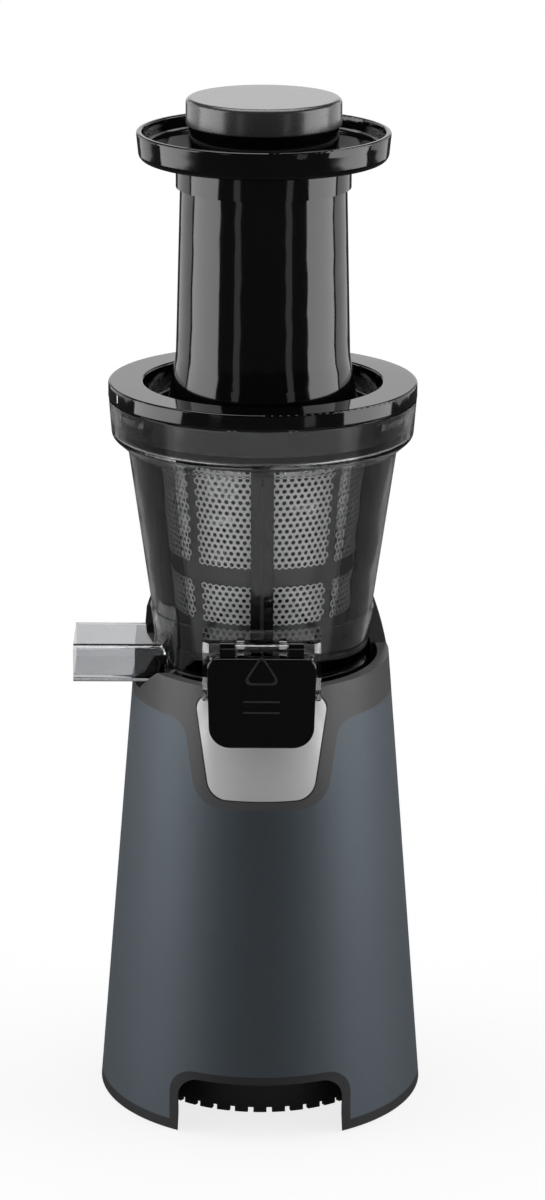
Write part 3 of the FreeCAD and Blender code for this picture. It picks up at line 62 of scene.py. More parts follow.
class JuicerSizes(bpy.types.PropertyGroup):
    """Sizes of the detail that a user would change."""

    hole_width: FloatProperty(
        name="Sieve hole", description="Width of one hole in the steel sieve",
        default=2.15 * MM, min=0.5 * MM, max=4 * MM, unit="LENGTH", precision=5)
    hole_pitch: FloatProperty(
        name="Sieve pitch", description="Distance from one sieve hole to the next in its row",
        default=3.3 * MM, min=1 * MM, max=6 * MM, unit="LENGTH", precision=5)
    sieve_thickness: FloatProperty(
        name="Sieve sheet", description="Thickness of the perforated steel",
        default=0.4 * MM, min=0.1 * MM, max=1 * MM, unit="LENGTH", precision=5)
    rib_width: FloatProperty(
        name="Marking rib", description="Width of the raised ribs of the arrow and bars on the pulp cover",
        default=0.8 * MM, min=0.2 * MM, max=2 * MM, unit="LENGTH", precision=5)
    rib_height: FloatProperty(
        name="Marking height", description="How far the arrow and bars stand out of the pulp cover",
        default=0.25 * MM, min=0.05 * MM, max=1 * MM, unit="LENGTH", precision=5)
    crease_angle: FloatProperty(
        name="Crease", description="Edges sharper than this stay crisp on the smooth pieces",
        default=math.radians(30), min=0.1, max=1.5, subtype="ANGLE")


class JuicerFinishes(bpy.types.PropertyGroup):
    """Colours of the main finishes."""

    paint: FloatVectorProperty(
        name="Paint", description="Satin metallic paint of the base", subtype="COLOR",
        default=(0.115, 0.137, 0.156), min=0, max=1)
    collar: FloatVectorProperty(
        name="Collar", description="Satin grey plastic of the collar", subtype="COLOR",
        default=(0.076, 0.076, 0.078), min=0, max=1)
    gloss: FloatVectorProperty(
        name="Black gloss", description="Polished black plastic", subtype="COLOR",
        default=(0.002, 0.002, 0.0022), min=0, max=1)
    satin: FloatVectorProperty(
        name="Black satin", description="Satin black plastic", subtype="COLOR",
        default=(0.022, 0.022, 0.024), min=0, max=1)
    smoked: FloatVectorProperty(
        name="Smoked bowl", description="Tint of the smoked bowl", subtype="COLOR",
        default=(0.72, 0.725, 0.73), min=0, max=1)
    clear: FloatVectorProperty(
        name="Clear spout", description="Tint of the clear spout", subtype="COLOR",
        default=(0.60, 0.61, 0.62), min=0, max=1)
    steel: FloatVectorProperty(
        name="Steel", description="Brushed steel", subtype="COLOR",
        default=(0.80, 0.80, 0.80), min=0, max=1)


def sizes():
    return bpy.context.scene.juicer_sizes


def colours():
    return bpy.context.scene.juicer_finishes


# Finishes


def noise_over(tree, scale, detail=2.0, stretch=(1, 1, 1)):
    """Noise laid over the piece's own place in the frame."""
    place = tree.nodes.new("ShaderNodeTexCoord")
    spread = tree.nodes.new("ShaderNodeMapping")
    noise = tree.nodes.new("ShaderNodeTexNoise")
    spread.inputs["Scale"].default_value = stretch
    noise.inputs["Scale"].default_value = scale
    noise.inputs["Detail"].default_value = detail
    tree.links.new(place.outputs["Object"], spread.inputs["Vector"])
    tree.links.new(spread.outputs["Vector"], noise.inputs["Vector"])
    return noise.outputs["Fac"]


def rings_over(tree, scale, direction="Z", wobble=0.0):
    """Even bands across the piece, such as turned lines or windings."""
    place = tree.nodes.new("ShaderNodeTexCoord")
    wave = tree.nodes.new("ShaderNodeTexWave")
    wave.bands_direction = direction
    wave.inputs["Scale"].default_value = scale
    wave.inputs["Distortion"].default_value = wobble
    tree.links.new(place.outputs["Object"], wave.inputs["Vector"])
    return wave.outputs["Fac"]


def between(tree, factor, low, high):
    """A factor spread from low to high."""
    spread = tree.nodes.new("ShaderNodeMapRange")
    spread.inputs["From Min"].default_value = 0.3
    spread.inputs["From Max"].default_value = 0.7
    spread.inputs["To Min"].default_value = low
    spread.inputs["To Max"].default_value = high
    tree.links.new(factor, spread.inputs["Value"])
    return spread.outputs["Result"]


def shaded(tree, factor, dark, light):
    """A factor turned into a colour from dark to light."""
    ramp = tree.nodes.new("ShaderNodeValToRGB")
    ramp.color_ramp.elements[0].position = 0.3
    ramp.color_ramp.elements[1].position = 0.7
    ramp.color_ramp.elements[0].color = (*dark, 1)
    ramp.color_ramp.elements[1].color = (*light, 1)
    tree.links.new(factor, ramp.inputs["Fac"])
    return ramp.outputs["Color"]


def raised(tree, shader, factor, strength, distance):
    """Fine relief from a factor."""
    bump = tree.nodes.new("ShaderNodeBump")
    bump.inputs["Strength"].default_value = strength
    bump.inputs["Distance"].default_value = distance
    tree.links.new(factor, bump.inputs["Height"])
    tree.links.new(bump.outputs["Normal"], shader.inputs["Normal"])


def scaled(colour, share):
    return tuple(min(1.0, part * share) for part in colour)


def finish(name, colour, roughness, metallic=0.0, specular=0.5, coat=0.0, coat_roughness=0.05,
           cloud=25, cloud_share=0.08, grain=900, relief=0.1, depth=0.05, stretch=(1, 1, 1),
           bands=None, band_direction="Z", band_share=0.0, anisotropy=0.0):
    """A solid finish with slow clouds of tone, a grain in its sheen and a fine relief."""
    title = name + "_finish"
    if title in bpy.data.materials:
        return bpy.data.materials[title]
    material = bpy.data.materials.new(title)
    material.use_nodes = True
    tree = material.node_tree
    shader = tree.nodes["Principled BSDF"]
    shader.inputs["Metallic"].default_value = metallic
    shader.inputs["Specular IOR Level"].default_value = specular
    shader.inputs["Coat Weight"].default_value = coat
    shader.inputs["Coat Roughness"].default_value = coat_roughness
    shader.inputs["Anisotropic"].default_value = anisotropy
    tone = noise_over(tree, cloud, 3.0)
    share = cloud_share
    if bands:
        tone = rings_over(tree, bands, band_direction, 0.6)
        share = band_share
    tinted = shaded(tree, tone, scaled(colour, 1 - share), scaled(colour, 1 + share))
    tree.links.new(tinted, shader.inputs["Base Color"])
    fine = noise_over(tree, grain, 2.0, stretch)
    sheen = between(tree, fine, roughness * (1 - relief), roughness * (1 + relief))
    tree.links.new(sheen, shader.inputs["Roughness"])
    raised(tree, shader, tone if bands else fine, depth, 0.0002)
    return material


def see_through(name, colour, roughness, refraction=1.49, side_share=1.0):
    """A transparent plastic with faint flow marks, darker by a share in its side panels."""
    title = name + "_finish"
    if title in bpy.data.materials:
        return bpy.data.materials[title]
    material = bpy.data.materials.new(title)
    material.use_nodes = True
    tree = material.node_tree
    shader = tree.nodes["Principled BSDF"]
    shader.inputs["Transmission Weight"].default_value = 1.0
    shader.inputs["IOR"].default_value = refraction
    flow = noise_over(tree, 30, 3.0, (1, 1, 0.35))
    tint = shaded(tree, flow, scaled(colour, 0.96), scaled(colour, 1.03))
    if side_share < 1:
        dark = scaled(colour, side_share)
        side = shaded(tree, flow, scaled(dark, 0.94), scaled(dark, 1.04))
        blend = tree.nodes.new("ShaderNodeMix")
        blend.data_type = "RGBA"
        tree.links.new(front_share(tree), blend.inputs[0])
        tree.links.new(side, blend.inputs[6])
        tree.links.new(tint, blend.inputs[7])
        tint = blend.outputs[2]
    tree.links.new(tint, shader.inputs["Base Color"])
    haze = noise_over(tree, 140, 2.0)
    tree.links.new(between(tree, haze, roughness * 0.8, roughness * 1.25), shader.inputs["Roughness"])
    raised(tree, shader, flow, 0.03, 0.0003)
    return material


def front_share(tree):
    """One on the front and rear of a round piece, and nothing on the side panels between them."""
    place = tree.nodes.new("ShaderNodeTexCoord")
    flat = tree.nodes.new("ShaderNodeVectorMath")
    flat.operation = "MULTIPLY"
    flat.inputs[1].default_value = (1, 1, 0)
    unit = tree.nodes.new("ShaderNodeVectorMath")
    unit.operation = "NORMALIZE"
    split = tree.nodes.new("ShaderNodeSeparateXYZ")
    size = tree.nodes.new("ShaderNodeMath")
    size.operation = "ABSOLUTE"
    spread = tree.nodes.new("ShaderNodeMapRange")
    spread.inputs["From Min"].default_value = math.cos(SIDE_PANEL_TURN + SIDE_PANEL_BLEND)
    spread.inputs["From Max"].default_value = math.cos(SIDE_PANEL_TURN - SIDE_PANEL_BLEND)
    tree.links.new(place.outputs["Object"], flat.inputs[0])
    tree.links.new(flat.outputs["Vector"], unit.inputs[0])
    tree.links.new(unit.outputs["Vector"], split.inputs["Vector"])
    tree.links.new(split.outputs["Y"], size.inputs[0])
    tree.links.new(size.outputs["Value"], spread.inputs["Value"])
    return spread.outputs["Result"]


def painted():
    """Satin metallic paint: dark flake under a soft clear coat."""
    return finish(
        "painted_shell", tuple(colours().paint), 0.54, metallic=0.78, coat=0.15, coat_roughness=0.35,
        cloud=9, cloud_share=0.035, grain=2600, relief=0.16, depth=0.06)


def collar_grey():
    return finish("grey_satin", tuple(colours().collar), 0.36, metallic=0.35, cloud=14, cloud_share=0.05,
                  grain=1700, relief=0.14, depth=0.05)


def black_gloss():
    return finish("black_gloss", tuple(colours().gloss), 0.075, specular=0.62, cloud=30, cloud_share=0.15,
                  grain=90, relief=0.25, depth=0.012)


def black_satin():
    return finish("black_satin", tuple(colours().satin), 0.40, cloud=20, cloud_share=0.12,
                  grain=1500, relief=0.15, depth=0.08)


def cap_satin():
    return finish(
        "cap_satin", (0.030, 0.030, 0.032), 0.26, coat=0.8, coat_roughness=0.2, cloud=20,
        cloud_share=0.08, grain=1300, relief=0.15, depth=0.05)


def brushed_steel():
    return finish("brushed_steel", tuple(colours().steel), 0.34, metallic=0.62, cloud=25, cloud_share=0.06,
                  grain=900, relief=0.18, depth=0.04, stretch=(0.03, 1, 4), anisotropy=0.4)


def sieve_steel():
    return finish("sieve_steel", (0.92, 0.92, 0.91), 0.42, metallic=0.25, cloud=60, cloud_share=0.06,
                  grain=1400, relief=0.15, depth=0.08)


def turned_steel():
    return finish("turned_steel", (0.55, 0.55, 0.56), 0.28, metallic=1.0, grain=1200, relief=0.25,
                  stretch=(0.2, 0.2, 4), depth=0.10)


def smoked():
    return see_through("smoked_clear", tuple(colours().smoked), 0.035, side_share=0.36)


def clear():
    return see_through("clear", tuple(colours().clear), 0.03)


def rubber():
    return finish("rubber", (0.030, 0.030, 0.031), 0.62, grain=1100, relief=0.12, depth=0.22)


def silicone():
    return finish("silicone", (0.045, 0.045, 0.047), 0.48, cloud=18, cloud_share=0.10, grain=700, depth=0.08)


def nylon():
    return finish("nylon", (0.72, 0.71, 0.66), 0.42, cloud=60, cloud_share=0.05, grain=1400, depth=0.08)


def bronze():
    return finish(
        "bronze", (0.52, 0.36, 0.19), 0.38, metallic=1.0, cloud=300, cloud_share=0.18, grain=2200, depth=0.25)


def copper():
    return finish(
        "copper", (0.66, 0.30, 0.16), 0.30, metallic=0.9, bands=420, band_share=0.35, grain=1600, depth=0.8)


def carbon():
    return finish("carbon", (0.045, 0.045, 0.047), 0.52, cloud=500, cloud_share=0.3, grain=1800, depth=0.2)


def ferrite():
    return finish(
        "ferrite", (0.10, 0.10, 0.11), 0.45, metallic=0.3, cloud=120, cloud_share=0.15, grain=1500,
        depth=0.15)


def alloy():
    return finish(
        "alloy", (0.56, 0.56, 0.58), 0.48, metallic=0.9, cloud=150, cloud_share=0.10, grain=1900, depth=0.28)


def board():
    return finish(
        "board", (0.045, 0.20, 0.085), 0.35, coat=0.3, bands=260, band_direction="X", band_share=0.12,
        grain=900, depth=0.1)


def laminated():
    return finish("laminated_steel", (0.34, 0.34, 0.36), 0.40, metallic=1.0, bands=620, band_share=0.22,
                  grain=1500, depth=0.5)


def white_mark():
    return finish("white_mark", (0.78, 0.78, 0.78), 0.4, cloud=200, cloud_share=0.04, grain=900)


# Shaping


def smooth_edges(bm, angle=None):
    """Smooth faces, with crisp edges kept where two faces meet sharply."""
    limit = angle or sizes().crease_angle
    for face in bm.faces:
        face.smooth = True
    for edge in bm.edges:
        edge.smooth = len(edge.link_faces) == 2 and edge.calc_face_angle(0) < limit


def add_piece(name, bm, material, body, replaced=()):
    """The finished mesh as a piece that rides on a body of the frame."""
    mesh = bpy.data.meshes.new(name)
    bm.to_mesh(mesh)
    bm.free()
    mesh.materials.append(material)
    piece = bpy.data.objects.new(name, mesh)
    bpy.context.scene.collection.objects.link(piece)
    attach(piece, body)
    if replaced:
        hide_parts(*replaced)
    return piece


def even_shading(piece):
    """Shading that follows the large faces of a smooth piece."""
    weigh = piece.modifiers.new("Even shading", "WEIGHTED_NORMAL")
    weigh.keep_sharp = True
    weigh.mode = "FACE_AREA"
    return piece


def skin(name, node, material, body, angle=None):
    """A merged, smooth skin of one frame node, which it stands for."""
    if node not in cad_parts:
        raise RuntimeError("the frame has no node " + node)
    bm = bmesh.new()
    bm.from_mesh(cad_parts[node].data)
    bmesh.ops.remove_doubles(bm, verts=bm.verts, dist=0.002 * MM)
    smooth_edges(bm, angle)
    return even_shading(add_piece(name, bm, material, body, (node,)))


def dress(nodes, material):
    """A finish on frame nodes whose own shape is shown."""
    for node in nodes:
        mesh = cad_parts[node].data
        mesh.materials.clear()
        mesh.materials.append(material)


def rounded_corners(points, radii, steps=5):
    """A chain of points with its corners rounded to the given radii."""
    chain = []
    for index, (point, radius) in enumerate(zip(points, radii)):
        here = Vector(point)
        before = Vector(points[index - 1])
        after = Vector(points[(index + 1) % len(points)])
        if radius == 0:
            chain.append(here)
            continue
        to_before = (before - here).normalized()
        to_after = (after - here).normalized()
        half = to_before.angle(to_after) / 2
        reach = radius / math.tan(half)
        centre = here + (to_before + to_after).normalized() * radius / math.sin(half)
        start = here + to_before * reach - centre
        finish_at = here + to_after * reach - centre
        turn = start.angle_signed(finish_at)
        for step in range(steps + 1):
            spoke = start.copy()
            spoke.rotate(Matrix.Rotation(-turn * step / steps, 2))
            chain.append(centre + spoke)
    return chain


def plate(points, radii, depth_from, depth_to, edge=0.0):
    """A flat piece facing the front, from corners of (x, height) in millimetres."""
    bm = bmesh.new()
    chain = rounded_corners(points, radii)
    verts = [bm.verts.new((point.x * MM, depth_from * MM, point.y * MM)) for point in chain]
    face = bm.faces.new(verts)
    grown = bmesh.ops.extrude_face_region(bm, geom=[face])
    moved = [item for item in grown["geom"] if isinstance(item, bmesh.types.BMVert)]
    bmesh.ops.translate(bm, vec=(0, (depth_to - depth_from) * MM, 0), verts=moved)
    bmesh.ops.recalc_face_normals(bm, faces=bm.faces)
    if edge:
        front = min(vert.co.y for vert in bm.verts)
        rim = [item for item in bm.edges
               if all(abs(vert.co.y - front) < 1e-7 for vert in item.verts)]
        bmesh.ops.bevel(bm, geom=rim, offset=edge * MM, offset_type="OFFSET", segments=3,
                        profile=0.5, affect="EDGES", material=-1, clamp_overlap=True)
    smooth_edges(bm)
    return bm


# Sieve

STRAINER_FOOT = 216.0
STRAINER_RADIUS = 38.0
STRAINER_SLOPE = 0.093
STRAINER_WALL = 2.2
WINDOW_HALF_TURN = math.radians(41.2)
WINDOWS = ((238.6, 257.2), (266.6, 317.1))
SHEET_LIFT = 2.0
SHEET_INSET = 0.2


def sieve_radius(height):
    """Middle of the strainer wall at a height, in millimetres."""
    return STRAINER_RADIUS + STRAINER_SLOPE * (height - STRAINER_FOOT) + STRAINER_WALL / 2


def punched_tile(bm, pitch, hole):
    """One six-sided cell with a round hole, that meets its neighbours edge to edge."""
    outer = bmesh.ops.create_circle(bm, cap_ends=False, segments=12, radius=pitch / math.sqrt(3))["verts"]
    inner = bmesh.ops.create_circle(bm, cap_ends=False, segments=12, radius=hole / 2)["verts"]
    bmesh.ops.scale(bm, vec=(math.cos(math.pi / 6),) * 2 + (1,), verts=outer[1::2])
    rings = list({edge for vert in outer + inner for edge in vert.link_edges})
    bmesh.ops.bridge_loops(bm, edges=rings)


def repeated(bm, geom, count, step):
    """The same geometry set out count times along a step."""
    every = list(geom)
    for number in range(1, count):
        copy = bmesh.ops.duplicate(bm, geom=geom)["geom"]
        verts = [item for item in copy if isinstance(item, bmesh.types.BMVert)]
        bmesh.ops.translate(bm, vec=Vector(step) * number, verts=verts)
        every += copy
    return every


def punched_sheet(low, high):
    """A flat punched sheet as wide and high as one window, with every second row shifted."""
    pitch = sizes().hole_pitch
    row_step = pitch * math.sqrt(3) / 2
    wide = 2 * WINDOW_HALF_TURN * sieve_radius((low + high) / 2) * MM
    tall = (high - low) * MM
    columns = max(2, round(wide / pitch))
    rows = max(2, round(tall / row_step))
    bm = bmesh.new()
    punched_tile(bm, pitch, sizes().hole_width)
    tile = bm.verts[:] + bm.edges[:] + bm.faces[:]
    repeated(bm, tile, columns, (pitch, 0, 0))
    first = bm.verts[:] + bm.edges[:] + bm.faces[:]
    second = bmesh.ops.duplicate(bm, geom=first)["geom"]
    moved = [item for item in second if isinstance(item, bmesh.types.BMVert)]
    bmesh.ops.translate(bm, vec=(pitch / 2, row_step, 0), verts=moved)
    repeated(bm, first, (rows + 1) // 2, (0, 2 * row_step, 0))
    repeated(bm, second, rows // 2, (0, 2 * row_step, 0))
    bmesh.ops.remove_doubles(bm, verts=bm.verts, dist=pitch / 40)
    middle = (columns - 0.5) * pitch / 2 - pitch / 4
    bmesh.ops.translate(bm, vec=(-middle, 0, 0), verts=bm.verts)
    stretch = tall / ((rows - 1) * row_step + pitch * 0.9)
    bmesh.ops.scale(bm, vec=(1, stretch, 1), verts=bm.verts)
    return bm


def wrapped_sheet(low, high, turn):
    """The punched sheet laid round the strainer wall, in front of one window."""
    bm = punched_sheet(low, high)
    reference = sieve_radius((low + high) / 2) * MM
    for vert in bm.verts:
        height = low + SHEET_LIFT + vert.co.y / MM
        angle = turn + vert.co.x / reference
        radius = (sieve_radius(height) - SHEET_INSET) * MM
        vert.co = (radius * math.cos(angle), radius * math.sin(angle), height * MM)
    bmesh.ops.recalc_face_normals(bm, faces=bm.faces)
    outward = sum(face.normal.dot(Vector((face.calc_center_median().x, face.calc_center_median().y, 0)))
                  for face in bm.faces)
    if outward < 0:
        bmesh.ops.reverse_faces(bm, faces=bm.faces)
    bmesh.ops.solidify(bm, geom=bm.faces[:], thickness=-sizes().sieve_thickness)
    smooth_edges(bm)
    return bm


def joined(parts):
    """Several shaped meshes as one."""
    whole = bmesh.new()
    for part in parts:
        mesh = bpy.data.meshes.new("part")
        part.to_mesh(mesh)
        part.free()
        whole.from_mesh(mesh)
        bpy.data.meshes.remove(mesh)
    return whole


# Operators


class JUICER_OT_shell(bpy.types.Operator):
    """Painted shell and the black trim round its foot"""

    bl_idname = "juicer.shell"
    bl_label = "Painted shell"

    def execute(self, context):
        skin("painted_body", "base_shell", painted(), "base")
        skin("foot_trim", "trim_skirt", black_satin(), "base")
        dress(("base_plate", "deck"), black_satin())
        dress(("rubber_feet",), rubber())
        dress(("base_screws", "gear_screws"), turned_steel())
        return {"FINISHED"}


class JUICER_OT_collar(bpy.types.Operator):
    """Grey collar with its front bib, the steel panel and the rear shroud"""

    bl_idname = "juicer.collar"
    bl_label = "Collar and panel"

    def execute(self, context):
        skin("grey_collar", "collar", collar_grey(), "base")
        skin("steel_plate", "steel_panel", brushed_steel(), "base")
        skin("back_shroud", "rear_shroud", black_satin(), "base")
        return {"FINISHED"}


class JUICER_OT_back(bpy.types.Operator):
    """Rocker switch, its bezel and the cord gland"""

    bl_idname = "juicer.back"
    bl_label = "Switch and gland"

    def execute(self, context):
        skin("bezel", "switch_bezel", black_satin(), "base")
        skin("rocker", "rocker_switch", black_gloss(), "rocker")
        skin("gland", "cord_gland", rubber(), "base")
        return {"FINISHED"}


class JUICER_OT_drive(bpy.types.Operator):
    """Motor, gearbox and circuit board inside the base"""

    bl_idname = "juicer.drive"
    bl_label = "Motor and gearbox"

    def execute(self, context):
        planets = [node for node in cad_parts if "_planet_" in node]
        dress(planets + ["ring_gear", "cooling_fan"], nylon())
        dress(("first_carrier", "second_carrier", "output_shaft", "motor_can", "motor_shaft", "sun_pinion"),
              turned_steel())
        dress(("armature_core",), laminated())
        dress(("armature_winding", "commutator"), copper())
        dress(("gearbox_lid", "gearbox_housing"), alloy())
        dress(("output_bushes", "motor_bearings"), bronze())
        dress(("motor_magnets",), ferrite())
        dress(("carbon_brushes",), carbon())
        dress(("motor_end_cap",), black_satin())
        dress(("control_board",), board())
        dress(("shaft_seal",), silicone())
        return {"FINISHED"}


class JUICER_OT_bowl(bpy.types.Operator):
    """Smoked juice bowl, its black foot, the packing and the clear spout"""

    bl_idname = "juicer.bowl"
    bl_label = "Bowl and spout"

    def execute(self, context):
        skin("smoked_bowl", "juice_bowl", smoked(), "bowl")
        skin("clear_spout", "juice_spout", clear(), "bowl")
        skin("black_foot", "bowl_foot", black_gloss(), "bowl")
        dress(("bowl_packing",), silicone())
        dress(("idler_pin",), turned_steel())
        return {"FINISHED"}


class JUICER_OT_strainer(bpy.types.Operator):
    """Strainer frame with punched steel sheets in its windows"""

    bl_idname = "juicer.strainer"
    bl_label = "Strainer"

    def execute(self, context):
        skin("sieve_frame", "strainer_frame", collar_grey(), "bowl")
        sheets = [wrapped_sheet(low, high, quarter * math.pi / 2)
                  for low, high in WINDOWS for quarter in range(4)]
        add_piece("punched_sieve", joined(sheets), sieve_steel(), "bowl", ("strainer_mesh",))
        return {"FINISHED"}


class JUICER_OT_brush(bpy.types.Operator):
    """Wiper cage, its silicone wipers and the small idler gear"""

    bl_idname = "juicer.brush"
    bl_label = "Wiper cage"

    def execute(self, context):
        skin("wiper_cage", "brush_cage", black_gloss(), "cage")
        skin("wiper_blades", "brush_wipers", silicone(), "cage")
        dress(("idler_gear",), nylon())
        return {"FINISHED"}


class JUICER_OT_auger(bpy.types.Operator):
    """Pressing screw and the steel socket in its foot"""

    bl_idname = "juicer.auger"
    bl_label = "Auger"

    def execute(self, context):
        skin("pressing_screw", "auger_screw", black_satin(), "auger")
        dress(("auger_socket",), turned_steel())
        return {"FINISHED"}


class JUICER_OT_cover(bpy.types.Operator):
    """Pulp cover with its raised arrow and bars, its seal and its pin"""

    bl_idname = "juicer.cover"
    bl_label = "Pulp cover"

    face = -87.3
    arrow = ((0, 238.2), (9.2, 223.6), (-9.2, 223.6))
    arrow_radii = (1.4, 2.2, 2.2)
    arrow_middle = 228.7
    arrow_inner = 0.82
    bar_heights = (215.5, 210.3)
    bar_half = 8.4

    def rib_ring(self):
        """The arrow as a raised outline."""
        middle = Vector((0, self.arrow_middle))
        inner = [middle + (Vector(corner) - middle) * self.arrow_inner for corner in self.arrow]
        bm = bmesh.new()
        rings = []
        for corners, share in ((self.arrow, 1), (inner, self.arrow_inner)):
            chain = rounded_corners(corners, [radius * share for radius in self.arrow_radii], 6)
            rings.append([bm.verts.new((point.x * MM, self.face * MM, point.y * MM)) for point in chain])
        for index in range(len(rings[0])):
            bm.faces.new((rings[0][index - 1], rings[0][index], rings[1][index], rings[1][index - 1]))
        grown = bmesh.ops.extrude_face_region(bm, geom=bm.faces[:], use_keep_orig=True)
        moved = [item for item in grown["geom"] if isinstance(item, bmesh.types.BMVert)]
        bmesh.ops.translate(bm, vec=(0, -sizes().rib_height, 0), verts=moved)
        bmesh.ops.recalc_face_normals(bm, faces=bm.faces)
        smooth_edges(bm)
        return bm

    def bar(self, height):
        """One raised bar with round ends."""
        half = sizes().rib_width / MM / 2
        corners = ((-self.bar_half, height - half), (self.bar_half, height - half),
                   (self.bar_half, height + half), (-self.bar_half, height + half))
        proud = sizes().rib_height / MM
        return plate(corners, (half * 0.95,) * 4, self.face, self.face - proud, edge=0.1)

    def execute(self, context):
        skin("front_cover", "pulp_cover", black_gloss(), "flap")
        marks = joined([self.rib_ring()] + [self.bar(height) for height in self.bar_heights])
        add_piece("cover_marks", marks, black_satin(), "flap")
        dress(("cover_pin",), turned_steel())
        dress(("cover_seal",), silicone())
        return {"FINISHED"}


class JUICER_OT_lid(bpy.types.Operator):
    """Black lid with its feed tube, gasket, bush and the white position mark"""

    bl_idname = "juicer.lid"
    bl_label = "Lid"

    mark_turn = math.radians(201.5)
    ring_radius = 72.5
    mark_middle = 343.4

    def position_mark(self):
        """A small printed tick on the side of the ring."""
        bm = bmesh.new()
        bmesh.ops.create_cube(bm, size=MM)
        bmesh.ops.scale(bm, vec=(0.1, 0.9, 3.6), verts=bm.verts)
        bmesh.ops.bevel(bm, geom=bm.edges[:], offset=0.04 * MM, offset_type="OFFSET", segments=2,
                        profile=0.5, affect="EDGES", material=-1, clamp_overlap=True)
        bmesh.ops.translate(bm, vec=(self.ring_radius * MM, 0, self.mark_middle * MM), verts=bm.verts)
        bmesh.ops.rotate(bm, cent=(0, 0, 0), matrix=Matrix.Rotation(self.mark_turn, 3, "Z"), verts=bm.verts)
        smooth_edges(bm)
        return bm

    def execute(self, context):
        skin("feed_lid", "lid", black_gloss(), "lid")
        add_piece("position_mark", self.position_mark(), white_mark(), "lid")
        dress(("lid_gasket",), silicone())
        dress(("lid_bush",), bronze())
        return {"FINISHED"}


class JUICER_OT_tray(bpy.types.Operator):
    """Hopper tray at the top of the feed tube"""

    bl_idname = "juicer.tray"
    bl_label = "Hopper tray"

    def execute(self, context):
        skin("hopper", "hopper_tray", black_gloss(), "lid")
        return {"FINISHED"}


class JUICER_OT_pusher(bpy.types.Operator):
    """Pusher with its satin cap"""

    bl_idname = "juicer.pusher"
    bl_label = "Pusher"

    def execute(self, context):
        skin("pusher_stem", "pusher", black_gloss(), "pusher")
        skin("cap", "pusher_cap", cap_satin(), "pusher")
        return {"FINISHED"}


